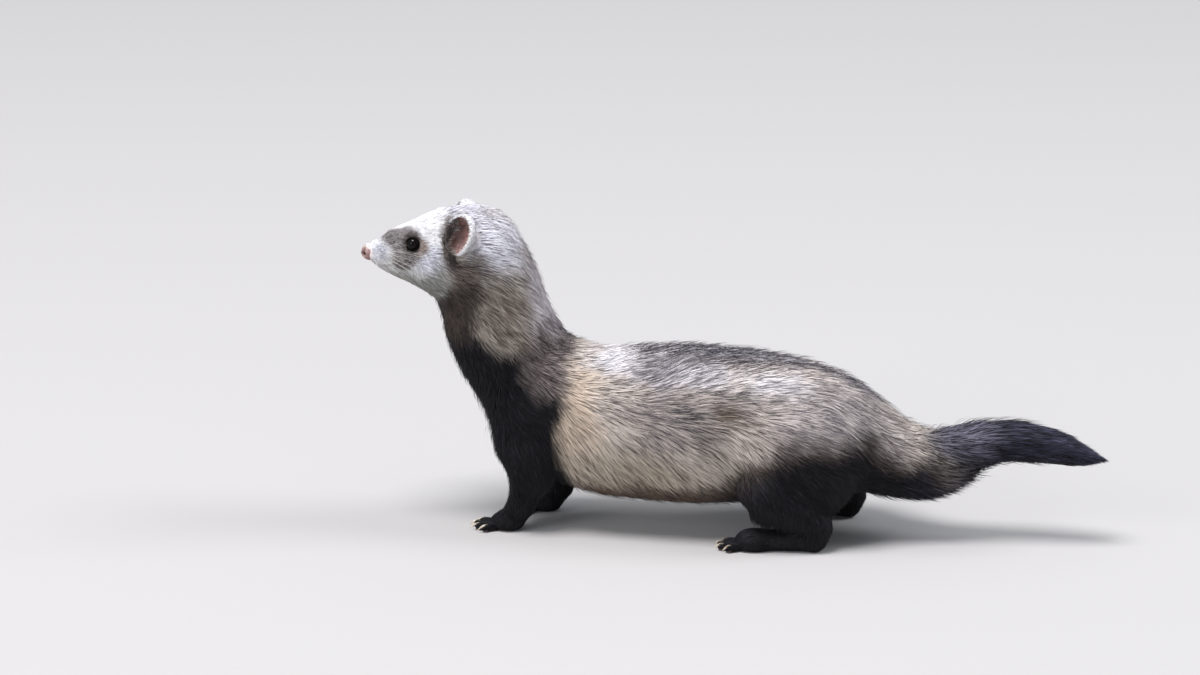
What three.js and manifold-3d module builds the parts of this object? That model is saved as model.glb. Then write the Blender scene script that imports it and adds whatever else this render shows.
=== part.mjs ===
// A ferret at life size, standing low on its hind legs with its head held up, as a still model.
// Millimetres, +Z up. It faces -X, its left side is -Y, and its soles stand on Z = 0.
// The whole animal is one field of rounded masses. Each part is a piece of that field's surface,
// parted from its neighbours by thin cuts.
import * as THREE from "three";
import { mergeVertices } from "three/addons/utils/BufferGeometryUtils.js";
import Module from "manifold-3d";

const wasm = await Module();
wasm.setup();

// Driving dimensions
const GAP = 0.3; // clear space between two parts that meet
const EVEN_OUT = 0.14; // the most that a flat run of small faces is evened out
const EVEN_OUT_FOOT = 0.07;
const HEAD_TURN = THREE.MathUtils.degToRad(9); // the head looks a little to its left
const HEAD_LEAN = THREE.MathUtils.degToRad(3); // and leans a little to its right
const HEAD_PIVOT = new THREE.Vector3(-20, 0, 156); // where the skull sits on the neck
const EYE = { x: -56.8, y: 13.3, z: 164.4, radius: 4.1 };
const EAR = { x: -30.7, y: 24.2, z: 171.6, height: 23, width: 17.5, depth: 7.5 };
const NOSE = { x: -82.2, z: 157.6, radii: [4.2, 4.7, 3.8] };
const MOUTH = { front: -88, corner: -65, z: 152.6, drop: 1.4, open: 0.7, deep: 1.4 };
const LEFT = -1;
const RIGHT = 1;

// The trunk, from the nape to the tip of the tail: the middle of each section in side view,
// and half of its depth and of its width, coat included.
const TRUNK = [
  { name: "nape", x: -20, z: 154, depth: 27, width: 25 },
  { name: "upper neck", x: -16.3, z: 140.5, depth: 30, width: 26.5 },
  { name: "middle neck", x: -11.5, z: 126, depth: 30.6, width: 27.5 },
  { name: "lower neck", x: -4.5, z: 108, depth: 31, width: 29 },
  { name: "withers", x: 9, z: 87.5, depth: 31.3, width: 31.5 },
  { name: "chest", x: 28, z: 71.5, depth: 38, width: 35.5 },
  { name: "ribs", x: 52, z: 62.4, depth: 43.3, width: 39.5 },
  { name: "belly", x: 80, z: 61.6, depth: 44.6, width: 42 },
  { name: "flank", x: 107, z: 61.8, depth: 45.2, width: 43 },
  { name: "loin", x: 136, z: 62.3, depth: 43.2, width: 42 },
  { name: "hips", x: 165, z: 62.5, depth: 38.2, width: 39.5 },
  { name: "croup", x: 186, z: 59.2, depth: 31.6, width: 34.5 },
  { name: "rump", x: 204, z: 52.2, depth: 26, width: 27.5 },
  { name: "dock", x: 221, z: 46, depth: 22.8, width: 21.5 },
  { name: "tail root", x: 236, z: 44.8, depth: 20.6, width: 18 },
  { name: "first brush", x: 250, z: 50.6, depth: 16.8, width: 15.5 },
  { name: "second brush", x: 266, z: 57.3, depth: 13.3, width: 13.2 },
  { name: "third brush", x: 286, z: 59.6, depth: 11.5, width: 11.5 },
  { name: "fourth brush", x: 306, z: 56.8, depth: 9.1, width: 9.2 },
  { name: "brush end", x: 323, z: 52.9, depth: 5.6, width: 5.8 },
  { name: "brush tip", x: 335, z: 51, depth: 1.3, width: 1.3 },
];

// Distance fields: each takes a point and gives a signed distance, negative inside
const LINKS_PER_SECTION = 3;

function blend(a, b, reach) {
  const near = Math.max(reach - Math.abs(a - b), 0) / reach;
  return Math.min(a, b) - near * near * reach * 0.25;
}

function ellipsoid(centre, radii) {
  const least = Math.min(...radii);
  return (x, y, z) => {
    const u = (x - centre[0]) / radii[0];
    const v = (y - centre[1]) / radii[1];
    const w = (z - centre[2]) / radii[2];
    const r = Math.sqrt(u * u + v * v + w * w);
    const slope = Math.sqrt((u / radii[0]) ** 2 + (v / radii[1]) ** 2 + (w / radii[2]) ** 2);
    return r < 1e-6 ? -least : (r * (r - 1)) / slope;
  };
}

// A limb's length between two joints: a cone with round ends
function taper(from, fromRadius, to, toRadius) {
  const [ax, ay, az] = from;
  const [bx, by, bz] = [to[0] - ax, to[1] - ay, to[2] - az];
  const long = bx * bx + by * by + bz * bz;
  return (x, y, z) => {
    const t = Math.min(1, Math.max(0, ((x - ax) * bx + (y - ay) * by + (z - az) * bz) / long));
    return (
      Math.hypot(x - ax - t * bx, y - ay - t * by, z - az - t * bz) -
      fromRadius -
      t * (toRadius - fromRadius)
    );
  };
}

// The trunk's field: the nearest of many short links along its curve, each an ellipse in section
function trunkField(sections) {
  const middle = new THREE.CatmullRomCurve3(
    sections.map((s) => new THREE.Vector3(s.x, 0, s.z)),
    false,
    "catmullrom",
    0.5,
  );
  const size = new THREE.CatmullRomCurve3(
    sections.map((s) => new THREE.Vector3(s.depth, s.width / s.depth, 0)),
    false,
    "catmullrom",
    0.5,
  );
  const count = (sections.length - 1) * LINKS_PER_SECTION;
  const knots = Array.from({ length: count + 1 }, (_, i) => {
    const at = middle.getPoint(i / count);
    const of = size.getPoint(i / count);
    return { x: at.x, z: at.z, depth: of.x, flat: of.y };
  });
  return (x, y, z) => {
    let least = Infinity;
    for (let i = 0; i < count; i++) {
      const a = knots[i];
      const b = knots[i + 1];
      const ux = b.x - a.x;
      const uz = b.z - a.z;
      const t = Math.min(
        1,
        Math.max(0, ((x - a.x) * ux + (z - a.z) * uz) / (ux * ux + uz * uz)),
      );
      const flat = a.flat + t * (b.flat - a.flat);
      const dx = x - a.x - t * ux;
      const dz = z - a.z - t * uz;
      const far = Math.sqrt(dx * dx + dz * dz + (y * y) / (flat * flat));
      least = Math.min(least, far - a.depth - t * (b.depth - a.depth));
    }
    return least;
  };
}

// The core of the tail thins from the coat's outline at its root to half of the coat's depth
const TAIL_CORE = { from: 238, to: 262, least: 0.7 };

function coreOf(section) {
  const along = THREE.MathUtils.smoothstep(section.x, TAIL_CORE.from, TAIL_CORE.to);
  const kept = 1 + along * (TAIL_CORE.least - 1);
  return { ...section, depth: section.depth * kept, width: section.width * kept };
}

// Joins masses one after another, each blended over its own reach
function group(masses) {
  return (x, y, z) => {
    let d = masses[0].field(x, y, z);
    for (let i = 1; i < masses.length; i++) {
      d = blend(d, masses[i].field(x, y, z), masses[i].reach);
    }
    return d;
  };
}

// The head, drawn straight ahead and then turned on the neck
const headMasses = [
  { field: ellipsoid([-27, 0, 160], [24.5, 24, 22.3]), reach: 0 },
  { field: taper([-40, 0, 162.2], 21, [-61, 0, 159], 14.6), reach: 5 },
  { field: taper([-62, 0, 159], 11.6, [-77.6, 0, 157.9], 6.8), reach: 5 },
  { field: ellipsoid([-38, 12.5, 148.5], [18.5, 12, 15.5]), reach: 8 },
  { field: ellipsoid([-38, -12.5, 148.5], [18.5, 12, 15.5]), reach: 8 },
  { field: taper([-49, 0, 147], 12.2, [-73.8, 0, 151.6], 4.4), reach: 5 },
  { field: ellipsoid([-73.8, 4.5, 155.9], [8.2, 4.9, 4.8]), reach: 3 },
  { field: ellipsoid([-73.8, -4.5, 155.9], [8.2, 4.9, 4.8]), reach: 3 },
  { field: ellipsoid([-55, 10, 169.5], [7.5, 4.6, 4]), reach: 4 },
  { field: ellipsoid([-55, -10, 169.5], [7.5, 4.6, 4]), reach: 4 },
];
const straightHead = group(headMasses);
const headTurn = new THREE.Matrix4()
  .makeTranslation(HEAD_PIVOT.x, HEAD_PIVOT.y, HEAD_PIVOT.z)
  .multiply(new THREE.Matrix4().makeRotationZ(HEAD_TURN))
  .multiply(new THREE.Matrix4().makeRotationX(-HEAD_LEAN))
  .multiply(new THREE.Matrix4().makeTranslation(-HEAD_PIVOT.x, -HEAD_PIVOT.y, -HEAD_PIVOT.z));
const unturn = headTurn.clone().invert().elements;

function headField(x, y, z) {
  return straightHead(
    unturn[0] * x + unturn[4] * y + unturn[8] * z + unturn[12],
    unturn[1] * x + unturn[5] * y + unturn[9] * z + unturn[13],
    unturn[2] * x + unturn[6] * y + unturn[10] * z + unturn[14],
  );
}

// Feet: a pad with five toes in a fan. Angles are from straight ahead, positive towards the midline.
const FRONT_FOOT = {
  pad: [9.5, 8.4, 5.6],
  toeRadius: [2.8, 2.3],
  claw: { length: 6.2, radius: 1.15 },
  toes: [
    { angle: -36, length: 9.8 },
    { angle: -16, length: 12.2 },
    { angle: 3, length: 12.8 },
    { angle: 22, length: 11.6 },
    { angle: 52, length: 7.8 },
  ],
};
const HIND_FOOT = {
  pad: [10, 8.6, 6],
  toeRadius: [2.9, 2.35],
  claw: { length: 5.2, radius: 1.15 },
  toes: [
    { angle: -33, length: 10.4 },
    { angle: -14, length: 13.2 },
    { angle: 4, length: 13.6 },
    { angle: 22, length: 12.2 },
    { angle: 50, length: 8.2 },
  ],
};
const TOE_HEIGHT = 2.55; // middle of each toe, so that its underside is cut flat on the floor
const PAD_HEIGHT = 5;

function toesOf(foot, side, at) {
  return foot.toes.map((toe) => {
    const angle = THREE.MathUtils.degToRad(toe.angle);
    const ahead = new THREE.Vector3(-Math.cos(angle), -side * Math.sin(angle), 0);
    const root = new THREE.Vector3(at[0], at[1], TOE_HEIGHT + 0.8).addScaledVector(ahead, 4);
    const tip = new THREE.Vector3(at[0], at[1], TOE_HEIGHT).addScaledVector(ahead, 4 + toe.length);
    return { ahead, root, tip };
  });
}

function footMasses(foot, side, at) {
  const pad = {
    field: ellipsoid([at[0], at[1], PAD_HEIGHT], foot.pad),
    reach: 5,
  };
  const toes = toesOf(foot, side, at).map((toe) => ({
    field: taper(toe.root.toArray(), foot.toeRadius[0], toe.tip.toArray(), foot.toeRadius[1]),
    reach: 1,
  }));
  return [pad, ...toes];
}

// Legs: step moves the foot back along the body
function frontLeg(side, step) {
  const at = [step - 1.5, side * 20];
  const shoulder = { field: ellipsoid([8, side * 21, 60], [16, 14, 26]), reach: 12 };
  const arm = {
    field: taper([11 + step * 0.4, side * 26, 50], 13.5, [14 + step * 0.8, side * 24, 37], 12),
    reach: 9,
  };
  const forearm = {
    field: taper([13.5 + step * 0.8, side * 24, 39], 12, [7 + step, side * 20.5, 16], 8),
    reach: 6,
  };
  const wrist = {
    field: taper([7 + step, side * 20.5, 15], 7.8, [1.5 + step, side * 20, 6.5], 6.6),
    reach: 4,
  };
  return {
    side,
    at,
    foot: FRONT_FOOT,
    upper: [shoulder, arm, forearm],
    lower: [wrist, ...footMasses(FRONT_FOOT, side, at)],
    cut: 15.5,
  };
}

function hindLeg(side, step) {
  const at = [141.5 + step, side * 37];
  const thigh = {
    field: ellipsoid([166 + step * 0.3, side * 28, 50], [33, 17.5, 33]),
    reach: 14,
  };
  const shank = {
    field: taper([148 + step, side * 36.5, 35], 14.5, [177 + step, side * 34.5, 17], 9.5),
    reach: 9,
  };
  const heel = {
    field: taper([178 + step, side * 34.5, 13], 8.2, [177 + step, side * 34.6, 7], 6.8),
    reach: 5,
  };
  const sole = {
    field: taper([176 + step, side * 34.6, 7], 6.9, at.concat(6), 6),
    reach: 4,
  };
  return {
    side,
    at,
    foot: HIND_FOOT,
    upper: [thigh, shank],
    lower: [heel, sole, ...footMasses(HIND_FOOT, side, at)],
    cut: 14.5,
  };
}

const LEGS = {
  front_left: frontLeg(LEFT, 0),
  front_right: frontLeg(RIGHT, 15),
  hind_left: hindLeg(LEFT, 0),
  hind_right: hindLeg(RIGHT, 12),
};

const trunk = trunkField(TRUNK);
const trunkCore = trunkField(TRUNK.map(coreOf));
const limbMasses = Object.values(LEGS).flatMap((leg) => [...leg.upper, ...leg.lower]);

// The whole animal out to the tips of its coat, and the same with only the core of the tail
function whole(body, x, y, z) {
  let d = body(x, y, z);
  if (x < 30 && z > 100) {
    d = blend(d, headField(x, y, z), 10);
  }
  for (const mass of limbMasses) {
    d = blend(d, mass.field(x, y, z), mass.reach);
  }
  return d;
}

const animal = (x, y, z) => whole(trunk, x, y, z);
const animalCore = (x, y, z) => whole(trunkCore, x, y, z);

// The marks of a grid along one axis: even, or closer together over a stretch with fine detail
const SPREAD = 0.22;

function ruled(low, high, step, fine) {
  const marks = [low - 1.03 * step];
  while (marks[marks.length - 1] < high + 0.03 * step) {
    const last = marks[marks.length - 1];
    const away = fine ? Math.max(fine.low - last, last - fine.high, 0) : Infinity;
    marks.push(last + Math.min(step, (fine ? fine.step : step) + away * SPREAD));
  }
  marks.push(marks[marks.length - 1] + step);
  return marks;
}

// Turns a field into a closed surface: one point in each grid cell that the surface crosses,
// joined across each crossed grid edge, evened out and drawn back onto the surface.
const RELAX_ROUNDS = 2;
const SLOPE_STEP = 0.05;

function surface(field, low, high, step, fine = []) {
  const boxed = (x, y, z) =>
    Math.max(
      field(x, y, z),
      low[0] - x,
      x - high[0],
      low[1] - y,
      y - high[1],
      low[2] - z,
      z - high[2],
    );
  const marks = low.map((l, m) => ruled(l, high[m], step[m], fine[m]));
  const least = Math.min(...step, ...fine.filter(Boolean).map((f) => f.step));
  const n = marks.map((m) => m.length);
  const between = (m, i) => {
    const whole = Math.floor(i);
    const part = i - whole;
    return part ? marks[m][whole] * (1 - part) + marks[m][whole + 1] * part : marks[m][whole];
  };
  const at = (i, j, k) => [between(0, i), between(1, j), between(2, k)];
  const index = (i, j, k) => (i * n[1] + j) * n[2] + k;
  const value = new Float64Array(n[0] * n[1] * n[2]);
  for (let i = 0; i < n[0]; i++) {
    for (let j = 0; j < n[1]; j++) {
      for (let k = 0; k < n[2]; k++) {
        value[index(i, j, k)] = boxed(...at(i, j, k));
      }
    }
  }
  const corners = [0, 1, 2, 3, 4, 5, 6, 7].map((c) => [c & 1, (c >> 1) & 1, (c >> 2) & 1]);
  const edges = [];
  corners.forEach((a, p) => {
    corners.forEach((b, q) => {
      if (p < q && Math.abs(a[0] - b[0]) + Math.abs(a[1] - b[1]) + Math.abs(a[2] - b[2]) === 1) {
        edges.push([a, b]);
      }
    });
  });
  const points = [];
  const pointOf = new Map();
  for (let i = 0; i < n[0] - 1; i++) {
    for (let j = 0; j < n[1] - 1; j++) {
      for (let k = 0; k < n[2] - 1; k++) {
        const sum = [0, 0, 0];
        let crossings = 0;
        for (const [a, b] of edges) {
          const va = value[index(i + a[0], j + a[1], k + a[2])];
          const vb = value[index(i + b[0], j + b[1], k + b[2])];
          if (va < 0 === vb < 0) continue;
          const t = va / (va - vb);
          a.forEach((start, m) => {
            sum[m] += start + t * (b[m] - start);
          });
          crossings++;
        }
        if (!crossings) continue;
        pointOf.set(index(i, j, k), points.length);
        points.push(
          at(i + sum[0] / crossings, j + sum[1] / crossings, k + sum[2] / crossings),
        );
      }
    }
  }
  const quads = [];
  const steps = [
    [1, 0, 0],
    [0, 1, 0],
    [0, 0, 1],
  ];
  for (let i = 1; i < n[0] - 1; i++) {
    for (let j = 1; j < n[1] - 1; j++) {
      for (let k = 1; k < n[2] - 1; k++) {
        const here = value[index(i, j, k)] < 0;
        for (let m = 0; m < 3; m++) {
          const s = steps[m];
          const there = value[index(i + s[0], j + s[1], k + s[2])] < 0;
          if (here === there) continue;
          const u = steps[(m + 1) % 3];
          const v = steps[(m + 2) % 3];
          const cellAt = (p, q) =>
            pointOf.get(
              index(i - p * u[0] - q * v[0], j - p * u[1] - q * v[1], k - p * u[2] - q * v[2]),
            );
          const quad = [cellAt(0, 0), cellAt(1, 0), cellAt(1, 1), cellAt(0, 1)];
          quads.push(here ? quad : quad.reverse());
        }
      }
    }
  }
  const settle = (p) => {
    for (let round = 0; round < 3; round++) {
      const d = boxed(...p);
      const slope = [0, 1, 2].map((m) => {
        const q = p.slice();
        q[m] += SLOPE_STEP;
        return (boxed(...q) - d) / SLOPE_STEP;
      });
      const steep = slope[0] ** 2 + slope[1] ** 2 + slope[2] ** 2;
      if (steep < 0.05) return;
      const most = least * 0.5;
      const move = Math.max(-most, Math.min(most, d)) / steep;
      slope.forEach((rise, m) => {
        p[m] -= rise * move;
      });
    }
  };
  const neighbours = points.map(() => new Set());
  for (const q of quads) {
    q.forEach((a, i) => {
      neighbours[a].add(q[(i + 1) % 4]);
      neighbours[a].add(q[(i + 3) % 4]);
    });
  }
  points.forEach(settle);
  for (let round = 0; round < RELAX_ROUNDS; round++) {
    const moved = points.map((p, i) => {
      const mean = [0, 0, 0];
      for (const o of neighbours[i]) {
        points[o].forEach((c, m) => {
          mean[m] += c / neighbours[i].size;
        });
      }
      return p.map((c, m) => (c + mean[m]) / 2);
    });
    moved.forEach((p, i) => {
      settle(p);
      points[i] = p;
    });
  }
  const triangles = [];
  const span = (a, b) =>
    Math.hypot(
      points[a][0] - points[b][0],
      points[a][1] - points[b][1],
      points[a][2] - points[b][2],
    );
  for (const [a, b, c, d] of quads) {
    triangles.push(...(span(a, c) < span(b, d) ? [a, b, c, a, c, d] : [a, b, d, b, c, d]));
  }
  return { points: points.flat(), triangles };
}

// Solids
function solid({ points, triangles }) {
  return new wasm.Manifold(
    new wasm.Mesh({
      numProp: 3,
      vertProperties: Float32Array.from(points),
      triVerts: Uint32Array.from(triangles),
    }),
  );
}

// A three.js geometry as a solid, with its shared vertices merged and flat triangles dropped
function solidOf(geometry, matrix) {
  const bare = geometry.index ? geometry.toNonIndexed() : geometry.clone();
  bare.deleteAttribute("normal");
  bare.deleteAttribute("uv");
  bare.applyMatrix4(matrix);
  const merged = mergeVertices(bare, 1e-4);
  const index = Array.from(merged.index.array);
  const triangles = [];
  for (let i = 0; i < index.length; i += 3) {
    const [a, b, c] = index.slice(i, i + 3);
    if (a !== b && b !== c && c !== a) {
      triangles.push(a, b, c);
    }
  }
  return solid({ points: Array.from(merged.attributes.position.array), triangles });
}

function geometryOf(made) {
  const mesh = made.getMesh();
  const position = new Float32Array(mesh.numVert * 3);
  for (let i = 0; i < mesh.numVert; i++) {
    position.set(mesh.vertProperties.subarray(i * mesh.numProp, i * mesh.numProp + 3), i * 3);
  }
  const geometry = new THREE.BufferGeometry();
  geometry.setAttribute("position", new THREE.BufferAttribute(position, 3));
  geometry.setIndex(new THREE.BufferAttribute(Uint32Array.from(mesh.triVerts), 1));
  geometry.computeVertexNormals();
  return geometry;
}

function largest(made) {
  return made.decompose().sort((a, b) => b.volume() - a.volume())[0];
}

// Cuts: a plane parts two nodes, and half the gap is taken from each
const plane = (x, z, nx, nz) => {
  const normal = new THREE.Vector3(nx, 0, nz).normalize();
  return { normal, offset: normal.dot(new THREE.Vector3(x, 0, z)) };
};
const ahead = (made, { normal, offset }) =>
  made.trimByPlane(normal.clone().negate().toArray(), -offset + GAP / 2);
const behind = (made, { normal, offset }) =>
  made.trimByPlane(normal.toArray(), offset + GAP / 2);

const CUTS = {
  nape: plane(-25, 151.5, 0.76, -0.65),
  withers: plane(5, 92, 0.61, -0.79),
  girth: plane(38, 60, 1, 0),
  waist: plane(128, 60, 1, 0),
  dock: plane(223, 50, 0.95, -0.31),
  brush: plane(246, 50, 1, 0),
};

// Each leg's own room: its masses swelled a little, so that the seam runs round the muscle,
// and all that is lower than the belly
const LEG_ROOM = 4.4;
const UNDER_BELLY = 12.5;
const ROOM_CELL = [10, 10, 10];

function legRoom(leg, extra) {
  const limb = group(leg.upper);
  const hind = leg.foot === HIND_FOOT;
  const low = [hind ? 108 : -38, leg.side < 0 ? -64 : 3, -8];
  const high = [hind ? 226 : 64, leg.side < 0 ? -3 : 64, 104];
  const room = (x, y, z) => Math.min(limb(x, y, z) - LEG_ROOM, z - UNDER_BELLY);
  const made = surface(room, low, high, ROOM_CELL);
  if (extra) {
    const p = made.points;
    const shape = new THREE.BufferGeometry();
    shape.setAttribute("position", new THREE.BufferAttribute(Float32Array.from(p), 3));
    shape.setIndex(made.triangles);
    shape.computeVertexNormals();
    const normal = shape.attributes.normal.array;
    for (let i = 0; i < p.length; i++) {
      p[i] += normal[i] * extra;
    }
  }
  return solid(made);
}

const rooms = Object.fromEntries(
  Object.entries(LEGS).map(([name, leg]) => [
    name,
    { inner: legRoom(leg, 0), outer: legRoom(leg, GAP) },
  ]),
);
const allRooms = Object.values(rooms).map((room) => room.outer);
const withoutLegs = (made) => allRooms.reduce((left, room) => left.subtract(room), made);

// Head
function outward(side) {
  return new THREE.Vector3(-0.42, side * 0.88, 0.2).normalize();
}

function eyeball(side, extra) {
  return solidOf(
    new THREE.SphereGeometry(EYE.radius + extra, 12, 8),
    headTurn.clone().multiply(new THREE.Matrix4().makeTranslation(EYE.x, side * EYE.y, EYE.z)),
  );
}

// A lid is a rim round the eye, a little wider than it is high
function lids(side) {
  const out = outward(side);
  const rim = new THREE.Matrix4().lookAt(out, new THREE.Vector3(), new THREE.Vector3(0, 0, 1));
  rim.setPosition(
    new THREE.Vector3(EYE.x, side * EYE.y, EYE.z).addScaledVector(out, EYE.radius * 0.36),
  );
  rim.scale(new THREE.Vector3(1.1, 0.98, 1));
  return solidOf(
    new THREE.TorusGeometry(EYE.radius * 0.96, 1.15, 6, 16),
    headTurn.clone().multiply(rim),
  );
}

function mouthCutter() {
  const steps = 8;
  const line = Array.from({ length: steps + 1 }, (_, i) => {
    const t = i / steps;
    return [
      MOUTH.front + t * (MOUTH.corner - MOUTH.front),
      MOUTH.z - MOUTH.drop * Math.sin(Math.PI * t ** 0.8) + 0.6 * t,
    ];
  });
  const shape = new THREE.Shape();
  line.forEach(([x, z], i) => {
    const half = (MOUTH.open / 2) * (i === steps ? 0.3 : 1);
    shape[i ? "lineTo" : "moveTo"](x, z + half);
  });
  line.reverse().forEach(([x, z], i) => {
    shape.lineTo(x, z - (MOUTH.open / 2) * (i ? 1 : 0.3));
  });
  shape.closePath();
  const width = 36;
  const slab = new THREE.ExtrudeGeometry(shape, { depth: width, bevelEnabled: false });
  const upright = new THREE.Matrix4()
    .makeTranslation(0, width / 2, 0)
    .multiply(new THREE.Matrix4().makeRotationX(Math.PI / 2));
  const core = solid(
    surface(
      (x, y, z) => headField(x, y, z) + MOUTH.deep,
      [-98, -34, 130],
      [-50, 26, 176],
      [3, 3, 3],
    ),
  );
  return solidOf(slab, headTurn.clone().multiply(upright)).subtract(core);
}

function nosePad(extra) {
  const place = new THREE.Matrix4().makeTranslation(NOSE.x, 0, NOSE.z);
  place.scale(new THREE.Vector3(...NOSE.radii.map((r) => r + extra)));
  return solidOf(new THREE.SphereGeometry(1, 14, 9), headTurn.clone().multiply(place));
}

function nostril(side) {
  const place = new THREE.Matrix4().makeTranslation(NOSE.x - 2.9, side * 3.1, NOSE.z - 0.3);
  place.scale(new THREE.Vector3(1.9, 1.1, 1.2));
  return solidOf(new THREE.SphereGeometry(1, 8, 6), headTurn.clone().multiply(place));
}

// An ear is a cup that opens forwards and out, drawn as a crescent turned about the cup's axis
function earCup(side, recess) {
  const steps = 5;
  const around = (i) => (i / steps) * Math.PI * 0.5;
  const bowl = (wide, low, deep) =>
    Array.from({ length: steps + 1 }, (_, i) => {
      return new THREE.Vector2(wide * Math.sin(around(i)), low - deep * Math.cos(around(i)));
    });
  const swell = recess ? GAP : 0;
  const outer = bowl(1 + (swell * 2) / EAR.width, 0, 1 + swell / EAR.depth);
  const inner = recess
    ? [new THREE.Vector2(outer[steps].x, 2), new THREE.Vector2(0, 2)]
    : bowl(0.84, 0.12, 0.86).reverse();
  const cup = new THREE.LatheGeometry([...outer, ...inner], 14);
  const out = new THREE.Vector3(-0.58, side * 0.78, 0.2).normalize();
  const up = new THREE.Vector3(0.28, side * 0.2, 0.94);
  const across = new THREE.Vector3().crossVectors(up, out).normalize();
  up.crossVectors(out, across).normalize();
  const frame = new THREE.Matrix4().makeBasis(across, out, up.negate());
  frame.scale(new THREE.Vector3(EAR.width / 2, EAR.depth, EAR.height / 2));
  frame.setPosition(EAR.x, side * EAR.y, EAR.z);
  return solidOf(cup, headTurn.clone().multiply(frame));
}

const HEAD_CELL = [6.5, 6, 6];
const MUZZLE_STEP = 2.6;
const MUZZLE = [
  { low: -92, high: -62, step: MUZZLE_STEP },
  { low: -19, high: 2, step: MUZZLE_STEP },
  { low: 146, high: 168, step: MUZZLE_STEP },
];

function headParts() {
  const skull = solid(surface(animal, [-100, -42, 112], [16, 42, 196], HEAD_CELL, MUZZLE));
  let head = ahead(skull, CUTS.nape);
  let nose = nosePad(0);
  for (const side of [LEFT, RIGHT]) {
    head = head.add(lids(side));
    nose = nose.subtract(nostril(side));
  }
  for (const side of [LEFT, RIGHT]) {
    head = head.subtract(eyeball(side, GAP)).subtract(earCup(side, true));
  }
  head = head.subtract(mouthCutter()).subtract(nosePad(GAP));
  return {
    head: largest(head),
    nose: largest(nose),
    eye_left: eyeball(LEFT, 0),
    eye_right: eyeball(RIGHT, 0),
    ear_left: earCup(LEFT, false),
    ear_right: earCup(RIGHT, false),
  };
}

// Locks of the tail's long coat: flat, tapered and bent along it, each rooted in the core, with
// its tip on the coat's outline
const LOCK_SINK = 3; // how far below the core's surface a lock is rooted
const LOCK_WIDTHS = [0.75, 1, 0.8]; // share of its width at each station, before the tip
const LOCK_THICKNESS = [2.6, 2.4, 1.5];
const LOCK_RISE = 1.15; // how soon a lock rises from its root to the outline
const DRAW_ROUNDS = 4;

// The brush: rings of locks, each lying over the roots of the next
const BRUSH = [
  { x: 249, locks: 8, length: 27, width: 12.5 },
  { x: 262, locks: 7, length: 29, width: 11.5 },
  { x: 277, locks: 7, length: 29, width: 11 },
  { x: 292, locks: 6, length: 28, width: 9.8 },
  { x: 306, locks: 5, length: 29, width: 8.6 },
];
const BRUSH_SCATTER = { x: 2.5, length: 3.5, width: 1, turn: 0.12 };
const BRUSH_LEAN = 0.06; // how far a lock leans out from the tail's own line

let seed = 22;

// A steady run of scattered numbers, each within a spread of its middle
function scatter(middle, spread) {
  seed = (seed * 16807) % 2147483647;
  return middle + ((seed / 2147483647) * 2 - 1) * spread;
}

function slopeOf(field, p) {
  const here = field(p.x, p.y, p.z);
  return new THREE.Vector3(
    field(p.x + SLOPE_STEP, p.y, p.z) - here,
    field(p.x, p.y + SLOPE_STEP, p.z) - here,
    field(p.x, p.y, p.z + SLOPE_STEP) - here,
  ).divideScalar(SLOPE_STEP);
}

// Moves a point to where the field has the wanted value
function drawTo(field, p, wanted) {
  for (let round = 0; round < DRAW_ROUNDS; round++) {
    const slope = slopeOf(field, p);
    p.addScaledVector(slope, (wanted - field(p.x, p.y, p.z)) / slope.lengthSq());
  }
  return p;
}

// A closed spike: rings of points that end in one point
function spike(rings, tip) {
  const sides = rings[0].length;
  const points = [...rings.flat(), tip].flatMap((p) => p.toArray());
  const triangles = [];
  for (let s = 1; s < sides - 1; s++) triangles.push(0, s, s + 1);
  for (let i = 0; i < rings.length; i++) {
    for (let s = 0; s < sides; s++) {
      const a = i * sides + s;
      const b = i * sides + ((s + 1) % sides);
      if (i + 1 < rings.length) {
        triangles.push(a, a + sides, b, b, a + sides, b + sides);
      } else {
        triangles.push(a, rings.length * sides, b);
      }
    }
  }
  const made = solid({ points, triangles });
  return made.volume() < 0 ? solid({ points, triangles: triangles.reverse() }) : made;
}

function lock(start, flow, length, width) {
  const stations = LOCK_WIDTHS.length;
  const root = drawTo(animalCore, start, -LOCK_SINK);
  const depth = animal(root.x, root.y, root.z);
  const centres = Array.from({ length: stations + 1 }, (_, i) => {
    const t = i / stations;
    const p = root.clone().addScaledVector(flow, length * t);
    return drawTo(animal, p, depth * (1 - t) ** LOCK_RISE);
  });
  const rings = LOCK_WIDTHS.map((share, i) => {
    const along = centres[i + 1].clone().sub(centres[i]).normalize();
    const across = new THREE.Vector3().crossVectors(along, slopeOf(animal, centres[i]));
    across.setLength((width * share) / 2);
    const up = new THREE.Vector3().crossVectors(across, along);
    up.setLength(LOCK_THICKNESS[i] / 2);
    return [across, up, across.clone().negate(), up.clone().negate()].map((arm) =>
      arm.add(centres[i]),
    );
  });
  return spike(rings, centres[stations]);
}

// The height of the tail's middle line
function tailMiddle(x) {
  const i = TRUNK.findIndex((section) => section.x >= x);
  const [a, b] = [TRUNK[i - 1], TRUNK[i]];
  return THREE.MathUtils.mapLinear(x, a.x, b.x, a.z, b.z);
}

function brushLock(ring, turn) {
  const x = scatter(ring.x, BRUSH_SCATTER.x);
  const angle = turn * 2 * Math.PI;
  const out = new THREE.Vector3(0, Math.sin(angle), Math.cos(angle));
  const start = new THREE.Vector3(x, 0, tailMiddle(x)).addScaledVector(out, 10);
  const flow = new THREE.Vector3(20, 0, tailMiddle(x + 20) - tailMiddle(x)).normalize();
  flow.addScaledVector(out, BRUSH_LEAN).normalize();
  const length = scatter(ring.length, BRUSH_SCATTER.length);
  return lock(start, flow, length, scatter(ring.width, BRUSH_SCATTER.width));
}

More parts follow.
